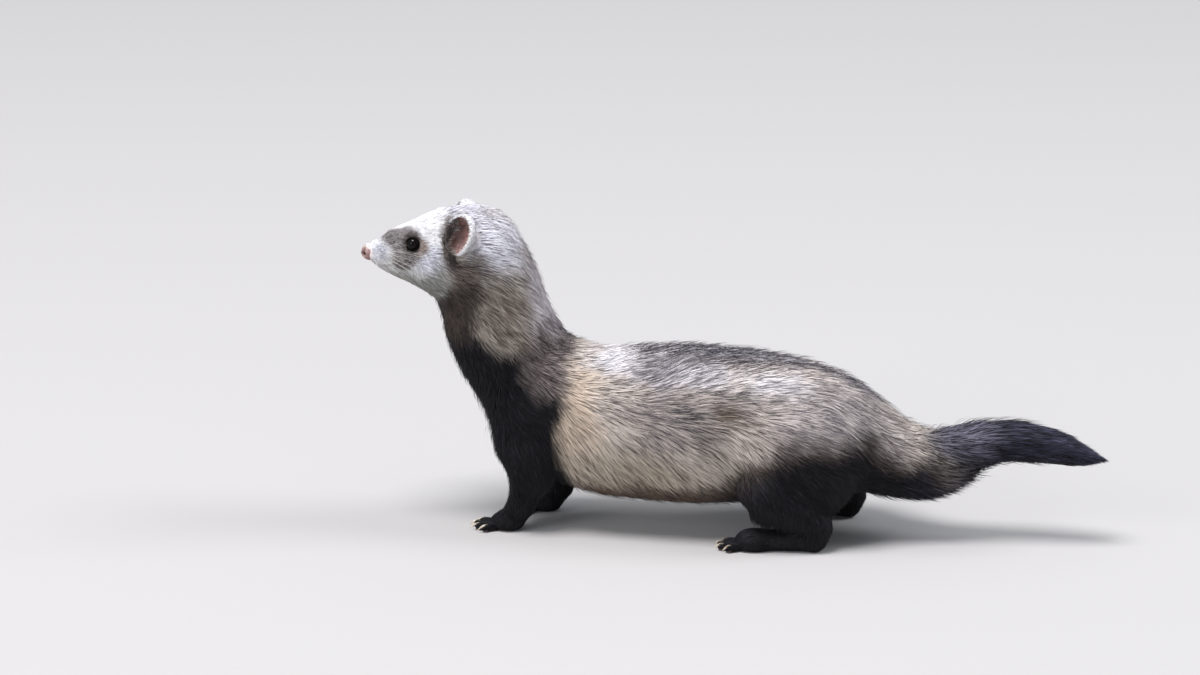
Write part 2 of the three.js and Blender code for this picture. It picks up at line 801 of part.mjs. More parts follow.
function tailLocks() {
  return BRUSH.flatMap((ring, r) =>
    Array.from({ length: ring.locks }, (_, i) => {
      const turn = i + (r % 2) / 2 + scatter(0, BRUSH_SCATTER.turn);
      return brushLock(ring, turn / ring.locks);
    }),
  );
}

// Neck, torso and tail, each a length of the trunk between two cuts
const BODY_CELL = [10.5, 9.2, 9.2];
const TAIL_CELL = [8, 5.4, 5.4];

function trunkParts() {
  const body = solid(surface(animal, [-75, -58, 4], [240, 58, 190], BODY_CELL));
  const tail = solid(surface(animalCore, [208, -30, 14], [342, 30, 90], TAIL_CELL));
  const length = (made, from, to) =>
    largest(withoutLegs(to ? ahead(behind(made, from), to) : behind(made, from)));
  return {
    neck: length(body, CUTS.nape, CUTS.withers),
    torso_shoulders: length(body, CUTS.withers, CUTS.girth),
    torso_flanks: length(body, CUTS.girth, CUTS.waist),
    torso_rump: length(body, CUTS.waist, CUTS.dock),
    tail_root: length(tail, CUTS.dock, CUTS.brush),
    tail_brush: length(tail.add(wasm.Manifold.union(tailLocks())), CUTS.brush, null),
  };
}

// Legs and feet
const CLAW_SHARES = [1, 0.8, 0.54]; // share of its radius at each station, before the tip
const CLAW_SIDES = 5;
const CLAW_SINK = 1.2;
const CLAW_RAISE = 0.9;
const CLAW_ARCH = 0.6;
const CLAW_DROP = 2.1;

// A claw leaves the toe's end upwards and curves down to its point
function claw(toe, { length, radius }) {
  const across = new THREE.Vector3(0, 0, 1).cross(toe.ahead).normalize();
  const stations = CLAW_SHARES.length;
  const middle = (t) =>
    toe.tip
      .clone()
      .addScaledVector(toe.ahead, t * length - CLAW_SINK)
      .add(
        new THREE.Vector3(0, 0, CLAW_RAISE + CLAW_ARCH * Math.sin(t * 2.4) - CLAW_DROP * t * t),
      );
  const rings = CLAW_SHARES.map((share, i) =>
    Array.from({ length: CLAW_SIDES }, (_, s) => {
      const a = (s / CLAW_SIDES) * 2 * Math.PI;
      return middle(i / stations)
        .addScaledVector(across, radius * share * 0.8 * Math.cos(a))
        .add(new THREE.Vector3(0, 0, radius * share * Math.sin(a)));
    }),
  );
  return spike(rings, middle(1));
}

const LEG_CELL = [5.6, 5.4, 6.8];
const FOOT_CELL = [6.5, 2.1, 2.8];
const TOE_CELL = 3.4;

function legParts(name, leg) {
  const hind = leg.foot === HIND_FOOT;
  const room = rooms[name].inner;
  const low = [hind ? 112 : -34, leg.side < 0 ? -60 : 2, leg.cut - 6];
  const high = [hind ? 222 : 60, leg.side < 0 ? -2 : 60, 100];
  const ankle = { low: leg.cut - 2, high: leg.cut + 10, step: 4 };
  const upper = solid(surface(animal, low, high, LEG_CELL, [null, null, ankle]))
    .intersect(room)
    .trimByPlane([0, 0, 1], leg.cut + GAP / 2);
  const footLow = [leg.at[0] - 26, leg.at[1] - 17.6, -4];
  const footHigh = [leg.at[0] + (hind ? 52 : 24), leg.at[1] + 17, leg.cut + 5];
  const toes = [{ low: footLow[0], high: leg.at[0] - 2, step: TOE_CELL }];
  let foot = solid(surface(animal, footLow, footHigh, FOOT_CELL, toes))
    .intersect(room)
    .trimByPlane([0, 0, -1], -leg.cut + GAP / 2);
  for (const toe of toesOf(leg.foot, leg.side, leg.at)) {
    foot = foot.add(claw(toe, leg.foot.claw));
  }
  foot = foot.trimByPlane([0, 0, 1], 0);
  return { [name + "_leg"]: largest(upper), [name + "_foot"]: largest(foot) };
}

// Colours of the coat and of the bare parts
const COLOURS = {
  pale_fur: { color: "#d8d3cb", roughness: 0.9 },
  grey_fur: { color: "#8c837b", roughness: 0.9 },
  cream_fur: { color: "#b6a795", roughness: 0.9 },
  dark_fur: { color: "#2d292b", roughness: 0.85 },
  tail_fur: { color: "#2a282e", roughness: 0.85 },
  ear_skin: { color: "#c79d90", roughness: 0.7 },
  nose_skin: { color: "#b87c6e", roughness: 0.45 },
  eye_surface: { color: "#0b0b10", roughness: 0.08 },
};

function finishOf(name) {
  if (name === "head") return "pale_fur";
  if (name === "nose") return "nose_skin";
  if (name.startsWith("eye_")) return "eye_surface";
  if (name.startsWith("ear_")) return "ear_skin";
  if (name === "neck") return "grey_fur";
  if (name === "tail_brush") return "tail_fur";
  if (name === "torso_shoulders" || name.endsWith("_leg") || name.endsWith("_foot")) {
    return "dark_fur";
  }
  return "cream_fur";
}

const parts = { ...headParts(), ...trunkParts() };
for (const [name, leg] of Object.entries(LEGS)) {
  Object.assign(parts, legParts(name, leg));
}

const ferret = new THREE.Group();
ferret.name = "ferret";
for (const [name, made] of Object.entries(parts)) {
  const { color, roughness } = COLOURS[finishOf(name)];
  const even = name.endsWith("_foot") ? EVEN_OUT_FOOT : EVEN_OUT;
  const mesh = new THREE.Mesh(
    geometryOf(largest(made.asOriginal().simplify(even))),
    new THREE.MeshStandardMaterial({ color, roughness, metalness: 0 }),
  );
  mesh.name = name;
  ferret.add(mesh);
}

// The frame's origin is on the floor, under the middle of the whole animal
const middle = new THREE.Box3().setFromObject(ferret).getCenter(new THREE.Vector3());
ferret.position.set(-middle.x, -middle.y, 0);

export default ferret;
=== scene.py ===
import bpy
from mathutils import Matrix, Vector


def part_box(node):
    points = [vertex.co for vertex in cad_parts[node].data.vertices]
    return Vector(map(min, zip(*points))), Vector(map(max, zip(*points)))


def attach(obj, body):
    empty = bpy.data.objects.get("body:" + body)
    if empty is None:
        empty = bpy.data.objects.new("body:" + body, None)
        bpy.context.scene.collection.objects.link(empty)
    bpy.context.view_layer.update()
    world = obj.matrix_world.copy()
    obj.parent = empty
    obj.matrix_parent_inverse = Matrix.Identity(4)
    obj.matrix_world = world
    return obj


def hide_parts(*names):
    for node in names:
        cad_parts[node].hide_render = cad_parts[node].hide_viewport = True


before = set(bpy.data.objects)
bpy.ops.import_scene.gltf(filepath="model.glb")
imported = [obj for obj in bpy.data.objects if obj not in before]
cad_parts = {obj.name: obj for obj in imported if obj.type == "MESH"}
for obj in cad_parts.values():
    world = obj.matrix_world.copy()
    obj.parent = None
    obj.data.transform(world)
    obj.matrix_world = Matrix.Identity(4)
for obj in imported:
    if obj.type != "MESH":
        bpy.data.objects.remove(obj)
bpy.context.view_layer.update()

import math

import bpy
import numpy as np
from bpy.props import FloatProperty, FloatVectorProperty, IntProperty, PointerProperty
from mathutils import Matrix, Vector, kdtree

bl_info = {
    "name": "Ferret",
    "version": (1, 0, 0),
    "blender": (4, 5, 0),
    "location": "View3D > Sidebar > Ferret",
    "description": "A standing ferret with a coat of solid tufts",
    "category": "Add Mesh",
}

MM = 0.001
LEFT = -1
RIGHT = 1
SIDES = ((LEFT, "left"), (RIGHT, "right"))
FEET = ("front_left_foot", "front_right_foot", "hind_left_foot", "hind_right_foot")
FLESH = (
    "head",
    "neck",
    "torso_shoulders",
    "torso_flanks",
    "torso_rump",
    "tail_root",
    "front_left_leg",
    "front_right_leg",
    "hind_left_leg",
    "hind_right_leg",
) + FEET

# The body's own measures, in millimetres and in its own axes: it faces -X, its left side is -Y
# and the floor is Z = 0. The head's places are given as if it looked straight ahead.
TRUNK = np.array(
    [  # x and z of the middle of each section, then half of its depth and of its width
        (-20, 154, 27, 25),  # nape
        (-16.3, 140.5, 30, 26.5),
        (-11.5, 126, 30.6, 27.5),
        (-4.5, 108, 31, 29),
        (9, 87.5, 31.3, 31.5),  # withers
        (28, 71.5, 38, 35.5),
        (52, 62.4, 43.3, 39.5),  # ribs
        (80, 61.6, 44.6, 42),
        (107, 61.8, 45.2, 43),
        (136, 62.3, 43.2, 42),
        (165, 62.5, 38.2, 39.5),  # hips
        (186, 59.2, 31.6, 34.5),
        (204, 52.2, 26, 27.5),
        (221, 46, 22.8, 21.5),  # dock
        (236, 44.8, 20.6, 18),
        (250, 50.6, 16.8, 15.5),
        (266, 57.3, 13.3, 13.2),
        (286, 59.6, 11.5, 11.5),
        (306, 56.8, 9.1, 9.2),
        (323, 52.9, 5.6, 5.8),
        (335, 51, 1.3, 1.3),  # tip of the tail
    ],
    float,
)
LINKS = 3  # of the smooth spine to each section
DOCK = 221
HEAD_TURN = math.radians(9)
HEAD_LEAN = math.radians(3)
HEAD_PIVOT = np.array((-20.0, 0.0, 156.0))
EYE = np.array((-56.8, 13.3, 164.4))
EYE_RADIUS = 4.1
EYE_OUT = (-0.42, 0.88, 0.2)
NOSE = np.array((-82.2, 0.0, 157.6))
NOSE_RADII = np.array((4.9, 5.1, 4.8))
EAR = np.array((-30.7, 24.2, 171.6))
EAR_RADII = np.array((8.75, 7.5, 11.5))  # half its width, its depth, half its height
EAR_OUT = (-0.58, 0.78, 0.2)
EAR_UP = (0.28, 0.2, 0.94)
MOUTH_FRONT = -84.0
MOUTH_CORNER = -65.0
MOUTH_MIDDLE = (-62, 0, 153)
SOLE = 0.5  # the skin's height under the feet
FRONT_FOOT = {
    "at": (-1.5, 20),
    "step": 15,
    "pad": (9.5, 8.4, 5.6),
    "radius": (2.8, 2.3),
    "claw": 6.2,
    "toes": ((-36, 9.8), (-16, 12.2), (3, 12.8), (22, 11.6), (52, 7.8)),
}
HIND_FOOT = {
    "at": (141.5, 37),
    "step": 12,
    "pad": (10, 8.6, 6),
    "radius": (2.9, 2.35),
    "claw": 5.2,
    "toes": ((-33, 10.4), (-14, 13.2), (4, 13.6), (22, 12.2), (50, 8.2)),
}
FOOT_OF = {"front": FRONT_FOOT, "hind": HIND_FOOT}


def stance():
    """Each foot: its kind, its side, how far it steps back and where it stands."""
    for foot in (FRONT_FOOT, HIND_FOOT):
        for side in (LEFT, RIGHT):
            step = foot["step"] if side == RIGHT else 0
            x, y = foot["at"]
            yield foot, side, step, (x + step, side * y)


STANCE = tuple(stance())


def turned(angle, axis):
    """The matrix of a turn about Z or X."""
    c, s = math.cos(angle), math.sin(angle)
    if axis == "Z":
        return np.array([[c, -s, 0], [s, c, 0], [0, 0, 1]])
    return np.array([[1, 0, 0], [0, c, -s], [0, s, c]])


HEAD = turned(HEAD_TURN, "Z") @ turned(-HEAD_LEAN, "X")


def to_head(p):
    return (p - HEAD_PIVOT) @ HEAD + HEAD_PIVOT


def from_head(p):
    return (p - HEAD_PIVOT) @ HEAD.T + HEAD_PIVOT


def on_side(place, side):
    """A place or a way of the left or the right side, given without the sign of its Y."""
    return np.array((place[0], side * place[1], place[2]), float)


def body_shift():
    """From the frame's axes to the body's own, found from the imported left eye."""
    low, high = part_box("eye_left")
    eye = np.array((low + high) / 2) / MM
    return from_head(on_side(EYE, LEFT)[None])[0] - eye


SHIFT = body_shift()


def in_frame(p):
    return (p - SHIFT) * MM


def in_body(p):
    return p / MM + SHIFT


# The outline of the whole animal as a field: how far each point lies outside the coat
def fused(a, b, reach):
    """Two fields as one, which run into each other where they are closer than the reach."""
    near = np.maximum(reach - np.abs(a - b), 0) / reach
    return np.minimum(a, b) - near * near * reach * 0.25


def ellipsoid(p, centre, radii):
    """About how far each point lies outside an ellipsoid."""
    radii = np.array(radii, float)
    u = (p - np.array(centre, float)) / radii
    r = np.sqrt((u * u).sum(1)) + 1e-9
    return r * (r - 1) / (np.sqrt(((u / radii) ** 2).sum(1)) + 1e-9)


def taper(p, start, start_radius, end, end_radius):
    """How far each point lies outside a round bar that goes from one radius to another."""
    start = np.array(start, float)
    way = np.array(end, float) - start
    t = np.clip((p - start) @ way / (way @ way), 0, 1)
    away = np.linalg.norm(p - start - t[:, None] * way, axis=1)
    return away - start_radius - t * (end_radius - start_radius)


def smooth_curve(knots, count):
    """Points along a smooth curve through the knots."""
    padded = np.vstack([2 * knots[0] - knots[1], knots, 2 * knots[-1] - knots[-2]])
    t = np.linspace(0, len(knots) - 1, count + 1)
    i = np.minimum(t.astype(int), len(knots) - 2)
    f = (t - i)[:, None]
    a, b, c, d = (padded[i + k] for k in range(4))
    return 0.5 * (
        2 * b + (c - a) * f + (2 * a - 5 * b + 4 * c - d) * f**2 + (3 * b - a - 3 * c + d) * f**3
    )


SPINE = smooth_curve(
    np.column_stack([TRUNK[:, :3], TRUNK[:, 3] / TRUNK[:, 2]]), (len(TRUNK) - 1) * LINKS
)
SPINE_REACH = 62.0  # no point's nearest link is further from it along the body


def trunk_field(p):
    """Neck, trunk and tail: tapered links along the spine, each with its own width to its depth."""
    least = np.full(len(p), np.inf)
    for a, b in zip(SPINE[:-1], SPINE[1:]):
        near = np.flatnonzero(np.abs(p[:, 0] - a[0]) < SPINE_REACH)
        q = p[near]
        u = b[:2] - a[:2]
        t = np.clip(((q[:, 0] - a[0]) * u[0] + (q[:, 2] - a[1]) * u[1]) / (u @ u), 0, 1)
        flat = a[3] + t * (b[3] - a[3])
        dx = q[:, 0] - a[0] - t * u[0]
        dz = q[:, 2] - a[1] - t * u[1]
        far = np.sqrt(dx * dx + dz * dz + (q[:, 1] / flat) ** 2)
        least[near] = np.minimum(least[near], far - a[2] - t * (b[2] - a[2]))
    return np.where(np.isinf(least), SPINE_REACH, least)


def head_field(p):
    """Skull, cheeks, muzzle, chin, whisker pads and brows."""
    q = to_head(p)
    d = ellipsoid(q, (-27, 0, 160), (24.5, 24, 22.3))
    d = fused(d, taper(q, (-40, 0, 162.2), 21, (-61, 0, 159), 14.6), 5)
    d = fused(d, taper(q, (-62, 0, 159), 11.6, (-77.6, 0, 157.9), 6.8), 5)
    for side in (RIGHT, LEFT):
        d = fused(d, ellipsoid(q, (-38, side * 12.5, 148.5), (18.5, 12, 15.5)), 8)
    d = fused(d, taper(q, (-49, 0, 147), 12.2, (-73.8, 0, 151.6), 4.4), 5)
    for side in (RIGHT, LEFT):
        d = fused(d, ellipsoid(q, (-73.8, side * 4.5, 155.9), (8.2, 4.9, 4.8)), 3)
    for side in (RIGHT, LEFT):
        d = fused(d, ellipsoid(q, (-55, side * 10, 169.5), (7.5, 4.6, 4)), 4)
    return d


def toes_of(foot, side, at):
    """For each toe the way it points, its root and its tip."""
    for angle, length in foot["toes"]:
        a = math.radians(angle)
        ahead = np.array((-math.cos(a), -side * math.sin(a), 0))
        root = np.array((*at, 3.35)) + 4 * ahead
        yield ahead, root, np.array((*at, 2.55)) + (4 + length) * ahead


def foreleg(side, step):
    """Shoulder, upper arm, forearm and wrist."""
    shoulder = (11 + step * 0.4, side * 26, 50)
    elbow = (14 + step * 0.8, side * 24, 37)
    forearm = (13.5 + step * 0.8, side * 24, 39)
    yield ellipsoid, ((8, side * 21, 60), (16, 14, 26)), 12
    yield taper, (shoulder, 13.5, elbow, 12), 9
    yield taper, (forearm, 12, (7 + step, side * 20.5, 16), 8), 6
    yield taper, ((7 + step, side * 20.5, 15), 7.8, (1.5 + step, side * 20, 6.5), 6.6), 4


def hind_leg(side, step):
    """Thigh, shank, heel and the sole up to the foot."""
    knee = (148 + step, side * 36.5, 35)
    hock = (177 + step, side * 34.6, 7)
    yield ellipsoid, ((166 + step * 0.3, side * 28, 50), (33, 17.5, 33)), 14
    yield taper, (knee, 14.5, (177 + step, side * 34.5, 17), 9.5), 9
    yield taper, ((178 + step, side * 34.5, 13), 8.2, hock, 6.8), 5
    yield taper, ((176 + step, side * 34.6, 7), 6.9, (141.5 + step, side * 37, 6), 6), 4


def limb_masses():
    """Each mass of legs and feet: its shape, its values and how far it runs into the rest."""
    for foot, side, step, at in STANCE:
        leg = foreleg if foot is FRONT_FOOT else hind_leg
        yield from leg(side, step)
        yield ellipsoid, ((*at, 5), foot["pad"]), 5
        for _, root, tip in toes_of(foot, side, at):
            yield taper, (root, foot["radius"][0], tip, foot["radius"][1]), 1


LIMB_MASSES = list(limb_masses())


def outline(p):
    """How far each point lies outside the coat, in millimetres."""
    d = trunk_field(p)
    m = np.flatnonzero((p[:, 0] < 30) & (p[:, 2] > 100))  # the head's part of the space
    if len(m):
        d[m] = fused(d[m], head_field(p[m]), 10)
    for shape, values, reach in LIMB_MASSES:
        centre = np.array(values[0], float)
        far = values[1] if shape is ellipsoid else np.abs(np.array(values[2]) - centre)
        limit = np.max(far) + reach + 28  # a mass isn't counted for points farther away
        m = np.flatnonzero(
            (np.abs(p[:, 0] - centre[0]) < limit) & (np.abs(p[:, 1] - centre[1]) < limit)
            & (p[:, 2] < centre[2] + limit)
        )
        if len(m):
            d[m] = fused(d[m], shape(p[m], *values), reach)
    return d


def slope(p):
    """The way the outline's field rises at each point, and its value there."""
    here = outline(p)
    step = 0.05
    return np.column_stack([(outline(p + step * axis) - here) / step for axis in np.eye(3)]), here


def drawn_to(p, wanted, rounds=2, most=6.0):
    """Moves points to where the outline's field has the wanted value."""
    p = p.copy()
    for _ in range(rounds):
        rise, here = slope(p)
        steep = np.maximum((rise**2).sum(1), 0.2)
        move = np.clip(wanted - here, -most, most) / steep
        p += rise * move[:, None]
    return p


def unit(v):
    return v / (np.linalg.norm(v, axis=-1, keepdims=True) + 1e-12)


def ease(t):
    t = np.clip(t, 0, 1)
    return t * t * (3 - 2 * t)


WAVES = 10


def waves(p, size, seed):
    """A smooth field of scattered values, about -1 to 1, whose swells are about size across."""
    rng = np.random.default_rng(seed)
    way = rng.normal(size=(WAVES, 3)) * 2.2 / size
    start = rng.uniform(0, 2 * math.pi, WAVES)
    return np.cos(p @ way.T + start).sum(1) * math.sqrt(2 / WAVES) * 0.7


# The lie of the coat. Each row is a place on the left or the middle line, the way the hair lies
# there, its length and how deep the coat is. The rows of "head" are in the head's own axes, and
# those of "front" and "hind" step back with the right foot.
LIE = {
    "head": (
        ((-80, 0, 162), (1, 0, 0.35), 2.4, 0.7),  # tip of the bridge
        ((-73, 0, 165), (1, 0, 0.4), 3.0, 0.9),
        ((-76, 6, 158), (1, 0.35, -0.05), 2.6, 0.7),  # muzzle
        ((-69, 9, 157), (1, 0.3, -0.12), 3.4, 1.0),
        ((-77, 4, 153.5), (1, 0.35, -0.25), 2.4, 0.6),  # upper lip
        ((-73, 0, 148.5), (1, 0.05, -0.15), 3.0, 0.9),  # chin
        ((-63, 4, 144), (1, 0.1, -0.25), 4.5, 1.4),
        ((-62, 0, 173), (1, 0, 0.45), 3.8, 1.2),  # forehead
        ((-60, 9, 171), (0.9, 0.3, 0.45), 3.6, 1.1),
        ((-52, 13, 172.5), (0.9, 0.3, 0.3), 4.2, 1.2),  # brow
        ((-61, 14, 160), (1, 0.3, -0.2), 3.4, 0.9),  # under the eye
        ((-55, 17, 157), (1, 0.25, -0.2), 4.4, 1.1),
        ((-50, 17, 165), (1, 0.3, 0.1), 4.2, 1.0),  # behind the eye
        ((-50, 20, 152), (1, 0.2, -0.35), 6.5, 2.0),  # cheek
        ((-52, 8, 142), (1, 0.15, -0.4), 7.0, 2.2),  # jaw
        ((-40, 25, 152), (0.95, 0.1, -0.4), 8.5, 2.8),
        ((-42, 19, 168), (1, 0.3, 0.15), 5.5, 1.5),  # temple
        ((-46, 0, 180), (1, 0, 0.25), 6.0, 1.9),
        ((-32, 0, 184), (1, 0, 0.0), 8.0, 2.8),  # crown
        ((-36, 23, 161), (1, 0.25, 0.0), 6.0, 1.8),  # before the ear
        ((-30, 14, 181), (1, 0.1, 0.0), 7.0, 2.4),
        ((-18, 22, 168), (0.9, 0.05, -0.25), 9.0, 3.4),  # behind the ear
        ((-38, 8, 135), (0.8, 0.1, -0.6), 9.0, 3.6),  # throat
    ),
    "body": (
        ((-8, 0, 181), (0.9, 0, -0.4), 10.0, 3.8),  # nape
        ((6, 0, 163), (0.6, 0, -0.8), 12.0, 4.6),
        ((19, 0, 135), (0.4, 0, -0.92), 13.0, 5.0),
        ((32, 0, 111), (0.85, 0, -0.5), 15.0, 5.5),  # withers
        ((-6, 24, 158), (0.92, 0, -0.3), 11.0, 4.2),
        ((4, 22, 142), (0.8, 0, -0.6), 12.0, 4.8),
        ((-14, 27, 140), (0.78, 0, -0.62), 12.0, 4.6),  # side of the neck
        ((-6, 28, 122), (0.72, 0, -0.7), 13.0, 5.0),
        ((4, 28, 106), (0.72, 0, -0.7), 13.0, 5.2),
        ((-44, 0, 126), (0.25, 0, -0.97), 11.0, 4.6),  # front of the neck
        ((-34, 20, 122), (0.4, 0.05, -0.9), 12.0, 4.8),
        ((-30, 0, 92), (0.3, 0, -0.95), 14.0, 5.5),  # chest
        ((-14, 24, 84), (0.35, 0, -0.94), 14.0, 5.2),
        ((-8, 0, 55), (0.7, 0, -0.7), 13.0, 5.5),
        ((28, 0, 34), (1, 0, -0.15), 13.0, 5.0),  # brisket
        ((22, 26, 98), (0.95, 0, -0.3), 14.0, 5.4),  # shoulder blade
        ((18, 34, 78), (0.75, 0.05, -0.65), 13.5, 5.0),
        ((12, 37, 60), (0.45, 0.05, -0.9), 12.5, 4.6),
        ((60, 0, 107), (1, 0, 0.0), 18.0, 6.2),  # back
        ((110, 0, 107), (1, 0, -0.02), 18.0, 6.2),
        ((160, 0, 101), (1, 0, -0.18), 18.0, 6.0),
        ((195, 0, 86), (0.9, 0, -0.45), 18.0, 6.0),  # croup
        ((45, 24, 98), (0.98, -0.05, 0.06), 17.0, 6.0),
        ((80, 26, 99), (0.93, -0.2, 0.28), 18.0, 6.4),  # upper flank
        ((112, 27, 99), (0.93, -0.2, 0.3), 18.0, 6.4),
        ((145, 26, 96), (0.95, -0.12, 0.12), 18.0, 6.2),
        ((44, 34, 80), (0.93, 0, -0.35), 18.0, 6.0),
        ((75, 38, 82), (0.98, 0, -0.08), 18.0, 6.4),
        ((110, 39, 82), (0.98, 0, 0.05), 18.0, 6.4),
        ((142, 38, 80), (0.96, 0, -0.18), 18.0, 6.2),
        ((42, 38, 58), (0.66, 0, -0.75), 19.0, 6.0),  # flank
        ((78, 41, 62), (0.84, 0, -0.52), 19.0, 6.4),
        ((115, 43, 62), (0.88, 0, -0.45), 19.0, 6.4),
        ((44, 32, 38), (0.42, -0.1, -0.9), 19.0, 6.0),
        ((84, 37, 40), (0.62, -0.15, -0.76), 19.0, 6.4),
        ((120, 38, 42), (0.7, -0.1, -0.7), 18.0, 6.2),
        ((60, 20, 23), (0.7, -0.4, -0.5), 17.0, 5.8),  # belly
        ((100, 20, 20), (0.8, -0.4, -0.4), 17.0, 5.8),
        ((80, 0, 17), (1, 0, -0.05), 16.0, 5.6),
        ((168, 31, 88), (0.92, 0, -0.36), 17.0, 5.8),  # haunch
        ((188, 30, 76), (0.88, 0, -0.46), 17.0, 5.8),
        ((160, 44, 68), (0.86, 0, -0.5), 16.0, 5.6),
        ((190, 38, 60), (0.84, 0, -0.54), 16.0, 5.8),
        ((206, 22, 62), (0.92, 0, -0.4), 18.0, 6.0),
        ((200, 0, 30), (0.8, 0, -0.5), 18.0, 6.0),
        ((222, 18, 44), (0.92, 0, -0.38), 19.0, 6.4),  # root of the tail
        ((226, 0, 68), (0.97, 0, -0.2), 18.0, 6.0),
        ((230, 0, 27), (0.8, 0, -0.2), 20.0, 6.8),
        ((246, 14, 50), (0.96, 0.03, -0.08), 20.0, 6.2),
        ((250, 0, 66), (0.96, 0, 0.28), 20.0, 6.0),
        ((252, 0, 34), (0.93, 0, 0.05), 21.0, 7.0),
        ((268, 12, 57), (0.98, 0.05, 0.2), 21.0, 5.6),  # tail
        ((288, 10, 59), (0.99, 0.05, -0.03), 20.0, 5.0),
        ((308, 8, 56), (0.98, 0.03, -0.16), 18.0, 4.2),
        ((326, 4, 52), (0.98, 0, -0.18), 15.0, 2.6),
    ),
    "front": (
        ((12, 36, 44), (0.3, 0, -0.95), 10.0, 3.8),  # elbow
        ((2, 22, 40), (0.1, 0, -1), 9.0, 3.4),
        ((10, 30, 28), (0.1, 0, -1), 7.5, 2.6),
        ((2, 16, 24), (0.0, 0, -1), 7.0, 2.4),
        ((5, 27, 14), (-0.1, 0, -1), 5.0, 1.6),  # wrist
        ((9, 20, 9), (0.0, 0, -1), 4.6, 1.3),
        ((-6, 20, 10), (-0.85, 0, -0.5), 3.6, 1.0),  # foot
        ((-15, 20, 5), (-0.95, 0, -0.3), 2.6, 0.7),
    ),
    "hind": (
        ((140, 44, 48), (0.6, 0, -0.8), 14.0, 5.0),  # thigh
        ((162, 47, 44), (0.7, 0, -0.7), 14.0, 4.8),
        ((182, 40, 38), (0.72, 0, -0.7), 14.0, 5.0),
        ((142, 44, 28), (0.3, 0, -0.95), 12.0, 3.6),
        ((140, 36, 24), (0.2, 0, -0.97), 14.0, 3.6),
        ((160, 44, 24), (0.5, 0, -0.85), 9.0, 3.4),  # shank
        ((178, 42, 18), (0.3, 0, -0.95), 7.0, 2.4),
        ((184, 34, 9), (0.2, 0, -1), 5.0, 1.6),  # heel
        ((166, 40, 9), (-0.6, 0, -0.7), 5.0, 1.5),
        ((148, 40, 10), (-0.85, 0, -0.45), 4.0, 1.1),  # foot
        ((134, 37, 5), (-0.95, 0, -0.3), 2.8, 0.7),
    ),
}


# Where the coat hangs free of the body or stands off from it. Each row is a place, how far round it
# that holds, how much, the way the hair goes there, and how much it spreads outwards.
LOOSE = {
    "body": (
        ((122, 40, 42), (16, 14, 22), 0.8, (0.78, 0.12, -0.6), 0.1),  # fold before the thigh
        ((228, 0, 30), (26, 18, 14), 0.5, (0.9, 0, -0.42), 0.15),  # under the tail's root
        ((80, 0, 16), (70, 34, 10), 0.35, (0.8, 0, -0.55), 0.0),  # belly
        ((324, 0, 53), (16, 14, 14), 0.8, (0.97, 0, -0.2), 0.03),  # end of the tail
        ((284, 0, 60), (40, 16, 18), 0.3, (1, 0, 0.0), 0.25),
    ),
    "front": (((22, 28, 38), (12, 14, 16), 0.6, (0.35, 0, -0.93), 0.0),),  # elbow
    "hind": (
        ((146, 38, 23), (19, 16, 14), 0.9, (0.08, 0, -1), 0.05),  # before the knee
        ((186, 34, 30), (14, 16, 18), 0.6, (0.45, 0, -0.9), 0.0),  # back of the thigh
    ),
}


def both_sides(table):
    """Each row of a table for the left and the right side, with the right feet's step back."""
    for group, places in table.items():
        for side in (LEFT, RIGHT):
            step = FOOT_OF[group]["step"] if group in FOOT_OF and side == RIGHT else 0
            for place, *rest in places:
                yield group, side, on_side(place, side) + (step, 0, 0), rest


def hanging(p, up):
    """How far each point's hair hangs free, and the way it then goes."""
    amount, way = np.full(len(p), 1e-6), np.zeros((len(p), 3))
    for _, side, place, (radii, much, flow, spread) in both_sides(LOOSE):
        w = inside_mass(p, place, radii, 0.4) * much
        way += w[:, None] * (unit(on_side(flow, side)) + spread * up)
        amount = np.maximum(amount, w)
    way = unit(way)
    return amount * ease(((way * up).sum(1) + 0.2) / 0.4), way


def lie_rows():
    """The rows of the lie for both sides, each with its place, way, length and depth."""
    rows = []
    for group, side, at, (way, length, depth) in both_sides(LIE):
        flow = on_side(way, side)
        if group == "head":
            at, flow = from_head(at[None])[0], HEAD @ flow
        rows.append((*at, *flow, length, depth))
    return np.array(rows)


LIE_ROWS = lie_rows()
CHUNK = 20000  # points at a time, which keeps the arrays small


def lie_at(p):
    """The way the coat lies, its length and its depth at each point."""
    out = np.empty((len(p), 5))
    for start in range(0, len(p), CHUNK):
        q = p[start : start + CHUNK]
        away = ((q[:, None, :] - LIE_ROWS[None, :, :3]) ** 2).sum(2)
        weight = 1 / (away + 4) ** 2
        weight /= weight.sum(1, keepdims=True)
        out[start : start + CHUNK] = weight @ LIE_ROWS[:, 3:]
    return out[:, :3], out[:, 3], out[:, 4]


